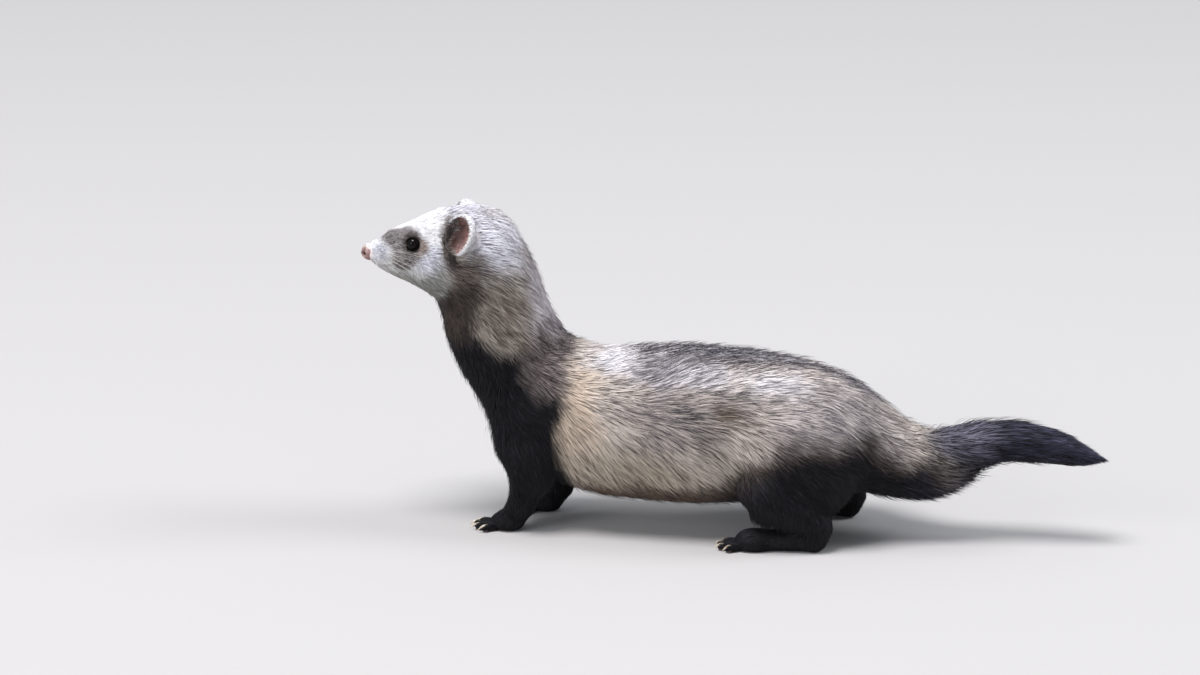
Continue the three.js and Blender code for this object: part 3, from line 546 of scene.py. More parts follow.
# Markings. Each is laid over those before it, inside an outline seen from the side or a rounded
# mass. It gives the colour of the soft undercoat, the share of dark guard hairs in it, and theirs.
# The soft edge is in millimetres for an outline, and a share of the radii for a mass.
MARKINGS = (
    # the trunk
    ("mass", ((42, 30, 68), (16, 40, 32)), 0.7, "peach", 0.1, "umber"),
    ("mass", ((74, 40, 36), (44, 22, 18)), 0.6, "sand", 0.2, "umber"),
    ("mass", ((96, 24, 97), (34, 16, 10)), 0.6, "ash", 0.6, "grey"),
    ("mass", ((60, 14, 100), (16, 18, 9)), 0.6, "ivory", 0.08, "grey"),
    ("mass", ((113, 26, 96), (15, 12, 5)), 0.7, "ivory", 0.55, "grey"),
    ("mass", ((158, 27, 91), (26, 14, 8)), 0.6, "ivory", 0.28, "grey"),
    ("mass", ((82, 40, 80), (30, 14, 12)), 0.7, "dun", 0.42, "grey"),
    ("mass", ((106, 41, 70), (20, 14, 13)), 0.7, "dun", 0.55, "slate"),
    ("mass", ((132, 39, 83), (22, 14, 9)), 0.7, "dun", 0.5, "slate"),
    ("mass", ((130, 41, 76), (8, 12, 5)), 0.8, "tan", 0.75, "brown"),
    ("mass", ((122, 43, 62), (12, 12, 9)), 0.7, "dun", 0.5, "brown"),
    ("mass", ((92, 42, 62), (14, 12, 6)), 0.8, "dun", 0.4, "grey"),
    ("mass", ((190, 30, 70), (34, 34, 26)), 0.6, "haunch", 0.42, "grey"),
    ("mass", ((214, 14, 52), (16, 22, 12)), 0.6, "haunch", 0.45, "brown"),
    ("ridge", ((62, 218), 12), 7, "ash", 1.1, "slate"),
    # the belly's darker hem: partly its own colour, partly painted shade of the underside
    (
        "outline",
        ((20, 27), (60, 32), (110, 29), (135, 28), (135, -20), (20, -20)),
        6, "tan", 0.5, "brown",
    ),
    ("mass", ((128, 37, 2), (24, 16, 12)), 0.3, "black", 0.5, "jet"),
    # the hind legs, the rump's underside and the tail, through brown into black
    (
        "outline",
        ((104, 4), (112, 20), (124, 34), (140, 46), (153, 54), (166, 62), (176, 61.5), (186, 59.5),
         (196, 62.5), (203, 64.5), (212, 58), (220, 50), (230, 46), (243, 49), (254, -20), (98, -20)),
        8, "umber", 0.6, "brown",
    ),
    (
        "outline",
        ((109, 4), (118, 17), (129, 29), (143, 40), (154, 48.5), (167, 58), (176, 58), (186, 56),
         (196, 60), (203, 63), (210, 56), (218, 47), (229, 44), (243, 48), (254, -20), (102, -20)),
        8, "black", 0.5, "jet",
    ),
    (
        "outline",
        ((241, 90), (245, 60), (250, 48), (240, 30), (238, -20), (380, -20), (380, 100)),
        18, "tail", 0.6, "jet",
    ),
    ("mass", ((262, 0, 62), (17, 22, 12)), 0.6, "tail_start", 0.5, "jet"),
    # the neck
    (
        "outline",
        ((-20, 190), (34, 130), (30, 112), (10, 98), (-10, 106), (-17, 125), (-20, 160)),
        10, "grey_tan", 0.5, "brown",
    ),
    ("mass", ((20, 0, 136), (16, 22, 30)), 0.5, "mauve", 0.26, "mauve_brown"),
    ("mass", ((27, 6, 121), (11, 20, 12)), 0.6, "mauve", 0.14, "mauve_brown"),
    ("mass", ((-4, 20, 168), (16, 26, 18)), 0.5, "silver", 0.22, "mauve_brown"),
    # the chest and forelegs, up into the dark of the throat
    (
        "outline",
        ((-70, 136), (-44, 136), (-32, 139), (-24, 147), (-15, 146), (-17, 131), (-17, 119),
         (-10, 108), (1, 101), (12, 105), (20, 108), (27, 100), (32, 90), (33.5, 80), (33.5, 65),
         (34, 46), (38, 24), (44, -20), (-70, -20)),
        5, "black", 0.5, "jet",
    ),
    (
        "outline",
        ((14, 118), (36, 108), (36, 92), (31, 80), (20, 79), (10, 91), (13, 104)),
        6, "shoulder", 0.7, "dark_brown",
    ),
    ("mass", ((-30, 20, 124), (14, 20, 14)), 0.6, "umber", 0.6, "dark_brown"),
    # the head
    (
        "head outline",
        ((-100, 200), (-27, 200), (-30, 180), (-31, 168), (-36, 158), (-34, 148), (-39, 138),
         (-48, 132), (-100, 128)),
        5, "white", 0.05, "grey",
    ),
    ("head mass", ((-26, 0, 183), (13, 26, 12)), 0.6, "silver", 0.66, "mauve_brown"),
    (
        "head outline",
        ((-80, 149), (-66, 149), (-52, 146), (-43, 150), (-37, 156), (-34, 147), (-38, 138),
         (-46, 131), (-90, 128)),
        6, "chin", 0.4, "grey",
    ),
    ("head mass", ((-46, 22, 157), (8, 12, 8)), 0.6, "cheek", 0.14, "grey"),
    ("head mass", ((-75, 7, 158.5), (5, 9, 5)), 0.6, "cheek", 0.3, "grey"),
    (
        "head outline",
        ((-38, 159), (-32, 156), (-24, 157), (-16, 159.5), (-15, 150), (-19, 141), (-24, 132),
         (-32, 136), (-34, 146)),
        5, "band", 0.85, "dark_brown",
    ),
    ("head mass", ((-23, 24, 136), (7, 12, 7)), 0.7, "umber", 0.8, "dark_brown"),
    (
        "head outline",
        ((-78.5, 166.5), (-76, 165.5), (-70.5, 164), (-68, 161), (-67, 155.5), (-65.3, 150.8),
         (-57, 150.6), (-52, 155), (-48.6, 160), (-48.6, 165.5), (-51.5, 168.8), (-56, 172.6),
         (-62, 175), (-70, 172), (-76, 169)),
        2.2, "mask", 0.5, "mask_dark",
    ),
    ("head mass", ((-62.5, 13, 152.3), (6, 6, 2.6)), 0.6, "mask", 1.0, "mask_dark"),
    ("head mass", ((-68, 8, 167.5), (9, 7, 3.4)), 0.6, "mask", 0.95, "mask_dark"),
    ("head mass", ((-57, 15, 165), (6.2, 6, 5.4)), 0.4, "mask_low", 0.9, "mask_dark"),
    ("head mass", ((-50.5, 18, 163), (3.6, 6, 4.5)), 0.6, "fawn", 0.5, "mask_dark"),
    ("head mass", ((-62, 0, 174), (9, 4.6, 5)), 0.5, "white", 0.08, "grey"),
    ("head mass", ((-80.6, 0, 157), (3.2, 5.6, 5)), 0.4, "nose_rim", 0.0, "grey"),
    (
        "head outline",
        ((-40, 173), (-37.5, 178), (-34, 179), (-33, 170), (-31, 161), (-34, 154), (-38, 160)),
        2, "band", 1.0, "mask_dark",
    ),
)


def inside_outline(x, z, corners, soft):
    """How far each point is inside an outline, from 0 to 1 across its soft edge."""
    corners = np.array(corners, float)
    inside = np.zeros(len(x), bool)
    away = np.full(len(x), np.inf)
    for (ax, az), (bx, bz) in zip(corners, np.roll(corners, -1, axis=0)):
        ux, uz = bx - ax, bz - az
        t = np.clip(((x - ax) * ux + (z - az) * uz) / (ux * ux + uz * uz), 0, 1)
        away = np.minimum(away, np.hypot(x - ax - t * ux, z - az - t * uz))
        if az != bz:
            inside ^= ((az > z) != (bz > z)) & (x < ax + (z - az) * ux / uz)
    return ease(0.5 + np.where(inside, away, -away) / (2 * soft))


def inside_mass(p, centre, radii, soft):
    """How far each point is inside a rounded mass, from 0 to 1 across its soft edge."""
    r = np.linalg.norm((p - np.array(centre)) / np.array(radii), axis=1)
    return ease((1 + soft - r) / (2 * soft))


def markings_at(p):
    """The undercoat's colour, the share of guard hairs and their colour at each point."""
    tones = bpy.context.scene.ferret_colours
    q = p + 2.2 * np.column_stack([waves(p, 9, s) for s in (1, 2, 3)])
    q[:, 1] = np.abs(q[:, 1])
    h = to_head(p)
    h += 0.7 * np.column_stack([waves(p, 5, s) for s in (4, 5, 6)])
    h[:, 1] = np.abs(h[:, 1])
    on_head = ease((26 - p[:, 0]) / 8) * ease((p[:, 2] - 118) / 8)
    # cream with a few dark hairs, where no marking lies
    under = np.tile(np.array(tones.cream), (len(p), 1))
    guard = np.tile(np.array(tones.umber), (len(p), 1))
    share = np.full(len(p), 0.17)
    for kind, shape, soft, tone, much, dark in MARKINGS:
        if kind == "mass":
            w = inside_mass(q, *shape, soft)
        elif kind == "ridge":
            (start, end), half = shape
            half = half * (1 - 0.65 * ease((q[:, 0] - 135) / 50))
            w = ease((half + soft - q[:, 1]) / (2 * soft)) * (q[:, 2] > 60)
            w = w * ease((q[:, 0] - start) / 20) * ease((end - q[:, 0]) / 20)
        elif kind == "outline":
            w = inside_outline(q[:, 0], q[:, 2], shape, soft)
        elif kind == "head mass":
            w = inside_mass(h, *shape, soft) * on_head
        else:
            w = inside_outline(h[:, 0], h[:, 2], shape, soft) * on_head
        w = w[:, None]
        under += (np.array(getattr(tones, tone)) - under) * w
        guard += (np.array(getattr(tones, dark)) - guard) * w
        share += (much - share) * w[:, 0]
    return under, share, guard


# Colours and materials
def linear(code):
    """An sRGB hex colour as linear values."""
    values = [int(code[i : i + 2], 16) / 255 for i in (1, 3, 5)]
    return tuple(v / 12.92 if v <= 0.04045 else ((v + 0.055) / 1.055) ** 2.4 for v in values)


def node(tree, kind, place, settings=(), links=()):
    """Adds a node with its settings, by name of a property or socket, and its links."""
    made = tree.nodes.new(kind)
    made.location = place
    for name, value in dict(settings).items():
        if isinstance(name, int) or name in made.inputs:
            made.inputs[name].default_value = value
        else:
            setattr(made, name, value)
    for socket, (source, output) in dict(links).items():
        tree.links.new(source.outputs[output], made.inputs[socket])
    return made


def new_material(name):
    material = bpy.data.materials.new(name)
    material.use_nodes = True
    tree = material.node_tree
    tree.nodes.clear()
    return material, tree


def finished(tree, shader):
    node(tree, "ShaderNodeOutputMaterial", (600, 0), links={"Surface": (shader, "BSDF")})


def grained_coat(tree, per_mm, detail, roughness, low, high):
    """The coat's own colours, darker and lighter by a fine grain of so many to the millimetre."""
    own = node(tree, "ShaderNodeAttribute", (-700, 100), {"attribute_name": "coat"})
    place = node(tree, "ShaderNodeTexCoord", (-900, -200))
    grain = node(
        tree,
        "ShaderNodeTexNoise",
        (-700, -200),
        {"Scale": per_mm / MM, "Detail": detail, "Roughness": roughness},
        {"Vector": (place, "Object")},
    )
    level = node(
        tree,
        "ShaderNodeMapRange",
        (-500, -200),
        {"From Min": 0.3, "From Max": 0.7, "To Min": low, "To Max": high},
        {"Value": (grain, "Fac")},
    )
    shade = node(
        tree,
        "ShaderNodeVectorMath",
        (-300, 0),
        {"operation": "MULTIPLY"},
        {0: (own, "Color"), 1: (level, "Result")},
    )
    return shade, grain


def hair_material(name, roughness, sheen):
    """Keratin hair in tufts. Its colour is each tuft's own, and a fine streak along it breaks the
    light as single hairs do. Hairs are under 0.1 mm thick, so the streaks are drawn at 0.5 mm."""
    material, tree = new_material(name)
    streaked, _ = grained_coat(tree, 2, 1.0, 0.5, 0.86, 1.12)
    shader = node(
        tree,
        "ShaderNodeBsdfPrincipled",
        (200, 0),
        {
            "Roughness": roughness,
            "IOR": 1.55,
            "Specular IOR Level": 0.18,
            "Sheen Weight": sheen,
            "Sheen Roughness": 0.4,
        },
        {"Base Color": (streaked, "Vector")},
    )
    finished(tree, shader)
    return material


def skin_material():
    """Skin under a dense undercoat: the coat's own markings over a short pile, which shows as a
    soft dark grain between the tufts. The pile is drawn at 0.7 mm, as coarse as it needs to show."""
    material, tree = new_material("short_furred_skin")
    dappled, pile = grained_coat(tree, 1.4, 2.0, 0.6, 0.75, 1.05)
    raised = node(
        tree,
        "ShaderNodeBump",
        (-100, -300),
        {"Strength": 0.6, "Distance": 0.4 * MM},
        {"Height": (pile, "Fac")},
    )
    shader = node(
        tree,
        "ShaderNodeBsdfPrincipled",
        (200, 0),
        {"Roughness": 0.75, "Specular IOR Level": 0.2},
        {"Base Color": (dappled, "Vector"), "Normal": (raised, "Normal")},
    )
    finished(tree, shader)
    return material


def painted_hollow_shade(tree, place, tone, shaded_hollows):
    """Paints shade into a colour round the bottom of each hollow, which has a spot and a reach."""
    for i, (spot, reach) in enumerate(shaded_hollows):
        away = node(
            tree,
            "ShaderNodeVectorMath",
            (-700, 400 + 200 * i),
            {"operation": "DISTANCE", 1: tuple(spot)},
            {0: (place, "Object")},
        )
        depth = node(
            tree,
            "ShaderNodeMapRange",
            (-500, 400 + 200 * i),
            {"From Min": 0.35 * reach, "From Max": reach, "To Min": 1.0, "To Max": 0.0},
            {"Value": (away, "Value")},
        )
        # painted shade, a dark red brown, towards the hollow's bottom
        tone = node(
            tree,
            "ShaderNodeMix",
            (-100, 300 + 200 * i),
            {"data_type": "RGBA", 7: (*linear("#2a100d"), 1)},
            {0: (depth, "Result"), 6: (tone, 2)},
        )
    return tone


def bare_material(name, low, high, grain, roughness, bump, blood=0.0, shine=0.5, shaded_hollows=()):
    """Bare skin of nose, ear, lid or pad, or a claw's horn: cells of so many millimetres, moist or
    dry by its roughness, with the blood under it as a little scattered light. Its colour goes from
    low to high in blotches of about 3 mm."""
    material, tree = new_material(name)
    place = node(tree, "ShaderNodeTexCoord", (-900, -100))
    cells = node(
        tree,
        "ShaderNodeTexVoronoi",
        (-700, -200),
        {"Scale": 1 / (grain * MM)},
        {"Vector": (place, "Object")},
    )
    blotch = node(
        tree,
        "ShaderNodeTexNoise",
        (-700, 150),
        {"Scale": 0.32 / MM, "Detail": 3.0},
        {"Vector": (place, "Object")},
    )
    spread = node(
        tree,
        "ShaderNodeMapRange",
        (-550, 150),
        {"From Min": 0.35, "From Max": 0.65},
        {"Value": (blotch, "Fac")},
    )
    tone = node(
        tree,
        "ShaderNodeMix",
        (-400, 100),
        {"data_type": "RGBA", 6: (*linear(low), 1), 7: (*linear(high), 1)},
        {0: (spread, "Result")},
    )
    # painted shade at the bottoms of the hollows, such as the nostrils
    tone = painted_hollow_shade(tree, place, tone, shaded_hollows)
    raised = node(
        tree,
        "ShaderNodeBump",
        (-300, -300),
        {"Strength": bump, "Distance": 0.2 * MM},
        {"Height": (cells, "Distance")},
    )
    shader = node(
        tree,
        "ShaderNodeBsdfPrincipled",
        (200, 0),
        {
            "Roughness": roughness,
            "Specular IOR Level": shine,
            "Subsurface Weight": blood,
            "Subsurface Radius": (1.0, 0.35, 0.2),
            "Subsurface Scale": 2 * MM,
        },
        {"Base Color": (tone, 2), "Normal": (raised, "Normal")},
    )
    finished(tree, shader)
    return material


def plain_material(name, code, roughness):
    """One even finish: the floor's matt paper, or the smooth keratin of a whisker."""
    material, tree = new_material(name)
    shader = node(
        tree,
        "ShaderNodeBsdfPrincipled",
        (200, 0),
        {"Base Color": (*linear(code), 1), "Roughness": roughness},
    )
    finished(tree, shader)
    return material


# Making pieces
def alone():
    """Leaves nothing selected, in object mode."""
    if bpy.context.object and bpy.context.object.mode != "OBJECT":
        bpy.ops.object.mode_set(mode="OBJECT")
    bpy.ops.object.select_all(action="DESELECT")


def choose(ob):
    alone()
    ob.select_set(True)
    bpy.context.view_layer.objects.active = ob


def points_of(ob):
    co = np.empty(len(ob.data.vertices) * 3)
    ob.data.vertices.foreach_get("co", co)
    return co.reshape(-1, 3)


def set_points(ob, p):
    ob.data.vertices.foreach_set("co", p.astype(np.float32).ravel())
    ob.data.update()


def paint(mesh, colours):
    """Keeps a colour at each of a mesh's points, for the materials of skin and coat."""
    layer = mesh.color_attributes.new("coat", "FLOAT_COLOR", "POINT")
    rgba = np.ones((len(mesh.vertices), 4), np.float32)
    rgba[:, :3] = colours
    layer.data.foreach_set("color", rgba.ravel())


def settle(ob, material, slot, *stood_for):
    """Puts a finished piece on the root with its material, and hides the parts it stands for.
    Its slot is not used.
    """
    ob.data.materials.clear()
    ob.data.materials.append(material)
    ob.data.polygons.foreach_set("use_smooth", np.ones(len(ob.data.polygons), bool))
    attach(ob, "root")
    if stood_for:
        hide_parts(*stood_for)


def copied(first, p):
    """A copy of a piece with its own mesh, at the given points."""
    copy = first.copy()
    copy.data = first.data.copy()
    bpy.context.collection.objects.link(copy)
    set_points(copy, in_frame(p))
    return copy


def joined(obs, name):
    alone()
    for ob in obs:
        ob.select_set(True)
    bpy.context.view_layer.objects.active = obs[0]
    bpy.ops.object.join()
    obs[0].name = name
    obs[0].data.name = name
    return obs[0]


def apply_modifier(ob, kind, **settings):
    choose(ob)
    modifier = ob.modifiers.new(kind.title(), kind)
    for name, value in settings.items():
        setattr(modifier, name, value)
    bpy.ops.object.modifier_apply(modifier=modifier.name)


# Places on the head, each as a matrix of the head's axes
def ear_matrix(side):
    """Across, out and up of an ear's cup, scaled to its size."""
    out = unit(on_side(EAR_OUT, side))
    across = unit(np.cross(on_side(EAR_UP, side), out))
    up = unit(np.cross(out, across))
    made = np.eye(4)
    made[:3, 0] = across * EAR_RADII[0]
    made[:3, 1] = out * EAR_RADII[1]
    made[:3, 2] = up * EAR_RADII[2]
    made[:3, 3] = on_side(EAR, side)
    return made


def in_ear(h, side):
    """Places of the head's axes in the units of an ear's cup."""
    place = ear_matrix(side)
    return (h - place[:3, 3]) @ np.linalg.inv(place[:3, :3]).T


def eye_matrix(side):
    """Forward, up and out of an eye."""
    out = unit(on_side(EYE_OUT, side))
    up = unit(np.array((0, 0, 1.0)) - out * out[2])
    made = np.eye(4)
    made[:3, 0] = np.cross(up, out) * side
    made[:3, 1] = up
    made[:3, 2] = out
    made[:3, 3] = on_side(EYE, side)
    return made


def placed(ob, matrix):
    """Moves a piece's points by a matrix of the head's axes, in millimetres."""
    h = points_of(ob) @ matrix[:3, :3].T + matrix[:3, 3]
    set_points(ob, in_frame(from_head(h)))
    if np.linalg.det(matrix[:3, :3]) < 0:
        ob.data.flip_normals()


def spot_in_frame(h):
    """One place of the head's axes in the frame's."""
    return in_frame(from_head(h[None]))[0]


# The skin
CORE_SHARE = 0.8  # of the tail's depth, for the solid core that the skin there is drawn from
MERGE = 1e-6
CLAW_OUT = 0.3  # a foot's points this far outside the outline are its claws
FACE_END = -45  # the skin's faces are finer before it


def tail_core():
    """The solid core of the tail: a ring at the dock, drawn out section by section."""
    sections = np.array([s for s in TRUNK if s[0] >= DOCK])
    alone()
    bpy.ops.mesh.primitive_circle_add(
        vertices=24, radius=1, fill_type="NGON", rotation=(0, math.pi / 2, 0)
    )
    core = bpy.context.object
    bpy.ops.object.transform_apply(location=False, rotation=True, scale=False)
    bpy.ops.object.mode_set(mode="EDIT")
    for _ in sections[1:]:
        bpy.ops.mesh.extrude_region_move(TRANSFORM_OT_translate={"value": (1, 0, 0)})
    bpy.ops.object.mode_set(mode="OBJECT")
    p = points_of(core)
    x, z, depth, width = sections[np.round(p[:, 0]).astype(int)].T
    shaped = [x, p[:, 1] * width * CORE_SHARE, z + p[:, 2] * depth * CORE_SHARE]
    set_points(core, in_frame(np.column_stack(shaped)))
    return core


def flesh_copy(name):
    """A copy of a flesh node as one closed mesh, with a foot's claws taken off."""
    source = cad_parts[name]
    copy = source.copy()
    copy.data = source.data.copy()
    copy.name = "flesh_" + name
    for key in list(copy.keys()):
        if key.startswith("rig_"):
            del copy[key]
    bpy.context.collection.objects.link(copy)
    copy.parent = None
    copy.matrix_world = Matrix()
    choose(copy)
    bpy.ops.object.mode_set(mode="EDIT")
    bpy.ops.mesh.select_all(action="SELECT")
    bpy.ops.mesh.remove_doubles(threshold=MERGE)
    bpy.ops.mesh.select_all(action="DESELECT")
    bpy.ops.object.mode_set(mode="OBJECT")
    if name in FEET:
        p = in_body(points_of(copy))
        claw = (outline(p) > CLAW_OUT) & (p[:, 2] > 0.05)
        copy.data.vertices.foreach_set("select", claw)
        bpy.ops.object.mode_set(mode="EDIT")
        bpy.ops.mesh.delete(type="VERT")
        bpy.ops.mesh.select_all(action="SELECT")
        bpy.ops.mesh.fill_holes(sides=0)
        bpy.ops.object.mode_set(mode="OBJECT")
    return copy


def skin_depth(p):
    """How far the skin lies under the outline of the coat."""
    _, _, depth = lie_at(p)
    on_tail = ease((p[:, 0] - 250) / 60)
    return depth * (1 - on_tail * 0.55)


def mouth_line(x):
    """The height of the closed mouth, along the side of the muzzle."""
    t = np.clip((x - MOUTH_FRONT) / (MOUTH_CORNER - MOUTH_FRONT), 0, 1)
    return 152.6 - 1.4 * np.sin(math.pi * t**0.8) + 0.6 * t


def shaped_face(p):
    """Draws the eye sockets, room for the cups of the ears and the line of the mouth into the
    skin."""
    h = to_head(p)
    for side in (LEFT, RIGHT):
        eye = on_side(EYE, side)
        away = h - eye
        r = np.linalg.norm(away, axis=1)
        near = r < EYE_RADIUS + 0.35
        h[near] = eye + away[near] / r[near, None] * (EYE_RADIUS - 0.5)
        cup = in_ear(h, side)
        wall = 1.06 - cup[:, 0] ** 2 - cup[:, 2] ** 2
        floor = -np.sqrt(np.maximum(wall, 0))
        near = (wall > 0) & (cup[:, 1] > floor) & (np.abs(cup[:, 1]) < 1.6)
        cup[near, 1] = floor[near]
        place = ear_matrix(side)
        h[near] = cup[near] @ place[:3, :3].T + place[:3, 3]
    low = (h[:, 0] < MOUTH_CORNER) & (np.abs(h[:, 2] - mouth_line(h[:, 0])) < 3)
    off = (h[:, 2] - mouth_line(h[:, 0]))[low]
    into = np.exp(-((off / 0.55) ** 2)) * 1.3
    h[low] -= unit(h[low] - np.array(MOUTH_MIDDLE)) * into[:, None]
    return from_head(h)


class FERRET_OT_skin(bpy.types.Operator):
    """One skin over the whole body, under the coat by its depth"""

    bl_idname = "ferret.skin"
    bl_label = "Skin"

    def execute(self, context):
        skin = joined([*(flesh_copy(name) for name in FLESH), tail_core()], "skin")
        grain = context.scene.ferret_sizes.skin_grain
        apply_modifier(skin, "REMESH", mode="VOXEL", voxel_size=grain)
        apply_modifier(skin, "SMOOTH", factor=0.5, iterations=4)
        h = to_head(in_body(points_of(skin)))
        choose(skin)
        skin.data.vertices.foreach_set("select", h[:, 0] < FACE_END)
        bpy.ops.object.mode_set(mode="EDIT")
        bpy.ops.mesh.select_mode(type="VERT")
        bpy.ops.mesh.subdivide(number_cuts=1)
        bpy.ops.object.mode_set(mode="OBJECT")
        p = in_body(points_of(skin))
        p = shaped_face(drawn_to(p, -skin_depth(p), rounds=4, most=5))
        p[:, 2] = np.maximum(p[:, 2], SOLE)
        set_points(skin, in_frame(p))
        self.unwrap(skin)
        under, share, guard = markings_at(p)
        h = to_head(p)
        # Painted shade: the skin is darkened along the groove of the closed mouth.
        mouth_shade = np.exp(-(((h[:, 2] - mouth_line(h[:, 0])) / 0.6) ** 2)) * (h[:, 0] < MOUTH_CORNER)
        shade = under + (guard - under) * share[:, None] * 0.6
        paint(skin.data, shade * (1 - 0.8 * mouth_shade)[:, None])
        settle(skin, skin_material(), "cream_fur", *FLESH, "tail_brush")
        return {"FINISHED"}

    def unwrap(self, skin):
        choose(skin)
        bpy.ops.object.mode_set(mode="EDIT")
        bpy.ops.mesh.select_all(action="SELECT")
        bpy.ops.uv.smart_project(angle_limit=math.radians(66), island_margin=0.002)
        bpy.ops.object.mode_set(mode="OBJECT")
        skin.data.uv_layers[0].name = "OFBake"


# The coat
PATCH = 0.003  # side of each tuft's square on the skin's unwrap
SHORT_HAIR = 9.0  # hair up to this length belongs to the short fur
GUARD_SHARE = 0.36  # of the tufts where the guard hairs cover the undercoat
RING_WIDTHS = (1.0, 0.8)
HAIR_STATIONS = (0, 0.33, 0.68, 1)  # root, two rings and tip of a long tuft


def tuft_frame(centres, roll):
    """At each ring of each tuft the way along it, to its side and up from the body."""
    along = unit(np.gradient(centres, axis=1)[:, 1:-1])
    across = np.repeat(roll["across"][:, None, :], along.shape[1], axis=1)
    across = unit(across - (across * along).sum(2, keepdims=True) * along)
    up = np.cross(along, across)
    up *= np.sign((up * roll["up"][:, None, :]).sum(2, keepdims=True) + 1e-9)
    lean = roll["lean"][:, None, None]
    side = across * np.cos(lean) + up * np.sin(lean)
    top = up * np.cos(lean) - across * np.sin(lean)
    return along, side, top


def tuft_faces(rings):
    """The triangles of one tuft: its root, rings of three and its tip, in that order."""
    faces = [(0, 1 + (k + 1) % 3, 1 + k) for k in range(3)]
    for i in range(rings - 1):
        for k in range(3):
            a, b = 1 + i * 3 + k, 1 + i * 3 + (k + 1) % 3
            faces += [(a, b, b + 3), (a, b + 3, a + 3)]
    last = 1 + (rings - 1) * 3
    faces += [(last + k, last + (k + 1) % 3, last + 3) for k in range(3)]
    return np.array(faces)


def per_point(roots, rings, tips):
    """Values of each tuft's root, rings and tip in the order of its points."""
    return np.concatenate([roots[:, None], rings, tips[:, None]], axis=1)


def triangle_mesh(name, points, corners):
    """A smooth mesh from its points and the three corners of each face."""
    mesh = bpy.data.meshes.new(name)
    mesh.vertices.add(len(points))
    mesh.vertices.foreach_set("co", points.astype(np.float32).ravel())
    mesh.loops.add(corners.size)
    mesh.loops.foreach_set("vertex_index", corners.astype(np.int32).ravel())
    count = len(corners)
    mesh.polygons.add(count)
    mesh.polygons.foreach_set("loop_start", np.arange(count, dtype=np.int32) * 3)
    mesh.polygons.foreach_set("loop_total", np.full(count, 3, np.int32))
    mesh.polygons.foreach_set("use_smooth", np.ones(count, bool))
    mesh.update(calc_edges=True)
    return mesh


def unwrap_tufts(mesh, corners, spots, rings):
    """Gives each tuft a small square on the skin's unwrap, its root at the foot of the square and
    its tip at the top."""
    t = np.concatenate([[0], np.repeat(np.linspace(0, 1, rings + 2)[1:-1], 3), [1]])
    s = np.concatenate([[0.5], np.tile([0, 1, 0.5], rings), [0.5]])
    square = (np.column_stack([s, t]) - 0.5) * PATCH
    uv = (spots[:, None, :] + square[None]).reshape(-1, 2)
    layer = mesh.uv_layers.new(name="OFBake")
    layer.data.foreach_set("uv", uv[corners.ravel()].astype(np.float32).ravel())


def tuft_mesh(name, centres, widths, colours, spots, roll, thick=0.4, soft=0.65):
    """Joins tufts into one mesh. Each tuft is a closed spindle: one point at its root, rings of
    three on the way and one point at its tip. Its normals lean towards the body's own by the soft
    share, since light falls on a coat as on one soft surface."""
    n, stations, _ = centres.shape
    rings = stations - 2
    along, side, top = tuft_frame(centres, roll)
    half = widths[:, :, None] / 2
    middle = centres[:, 1:-1]
    ring = [middle - side * half, middle + side * half, middle + top * half * 2 * thick]
    ring = np.stack(ring, axis=2).reshape(n, rings * 3, 3)
    points = per_point(centres[:, 0], ring, centres[:, -1])
    corners = np.arange(n)[:, None, None] * points.shape[1] + tuft_faces(rings)[None]
    # The faces look outwards where side, top and along are a right-handed set.
    wrong = (np.cross(side[:, 0], top[:, 0]) * along[:, 0]).sum(1) < 0
    corners[wrong] = corners[wrong][:, :, ::-1]
    corners = corners.reshape(-1, 3)
    mesh = triangle_mesh(name, in_frame(points.reshape(-1, 3)), corners)
    if soft:
        own = unit(np.stack([-side - 0.5 * top, side - 0.5 * top, top], axis=2))
        own = per_point(-along[:, 0], own.reshape(n, rings * 3, 3), along[:, -1])
        leaning = unit(own * (1 - soft) + roll["up"][:, None, :] * soft)
        mesh.normals_split_custom_set_from_vertices(leaning.reshape(-1, 3).astype(np.float32))
    shades = per_point(colours[:, 0], np.repeat(colours[:, 1:-1], 3, axis=1), colours[:, -1])
    paint(mesh, shades.reshape(-1, 3))
    unwrap_tufts(mesh, corners, spots, rings)
    ob = bpy.data.objects.new(name, mesh)
    bpy.context.collection.objects.link(ob)
    return ob


def tuft_width(length):
    """A tuft's width in millimetres: longer hair gathers in wider tufts."""
    return bpy.context.scene.ferret_sizes.tuft_width * (0.24 + 0.03 * length)


def skin_triangles():
    """The corners of the skin's triangles, and their spots on its unwrap."""
    skin = bpy.data.objects.get("skin")
    if skin is None:
        raise RuntimeError("The skin has to be made before the hair on it")
    mesh = skin.data
    mesh.calc_loop_triangles()
    count = len(mesh.loop_triangles)
    corners, loops = np.empty(count * 3, np.int32), np.empty(count * 3, np.int32)
    mesh.loop_triangles.foreach_get("vertices", corners)
    mesh.loop_triangles.foreach_get("loops", loops)
    uv = np.empty(len(mesh.loops) * 2)
    mesh.uv_layers["OFBake"].data.foreach_get("uv", uv)
    p = in_body(points_of(skin))
    return p[corners.reshape(-1, 3)], uv.reshape(-1, 2)[loops.reshape(-1, 3)]


def scattered_on(corners, uv, weight, count, rng):
    """Even places on triangles, denser where the weight is greater, with their unwrapped spots."""
    area = np.linalg.norm(
        np.cross(corners[:, 1] - corners[:, 0], corners[:, 2] - corners[:, 0]), axis=1
    ) / 2
    total = np.cumsum(area * weight)
    marks = (np.arange(count) + rng.uniform(0, 1, count)) * total[-1] / count
    face = np.minimum(np.searchsorted(total, marks), len(total) - 1)
    a, b = rng.uniform(0, 1, (2, count))
    over = a + b > 1
    a[over], b[over] = 1 - a[over], 1 - b[over]
    share = np.column_stack([1 - a - b, a, b])[:, :, None]
    return (corners[face] * share).sum(1), (uv[face] * share).sum(1)


def nearest(places, p):
    """The number of the place that lies nearest to each point."""
    tree = kdtree.KDTree(len(places))
    for i, place in enumerate(places):
        tree.insert(place, i)
    tree.balance()
    return [tree.find(q)[1] for q in p]


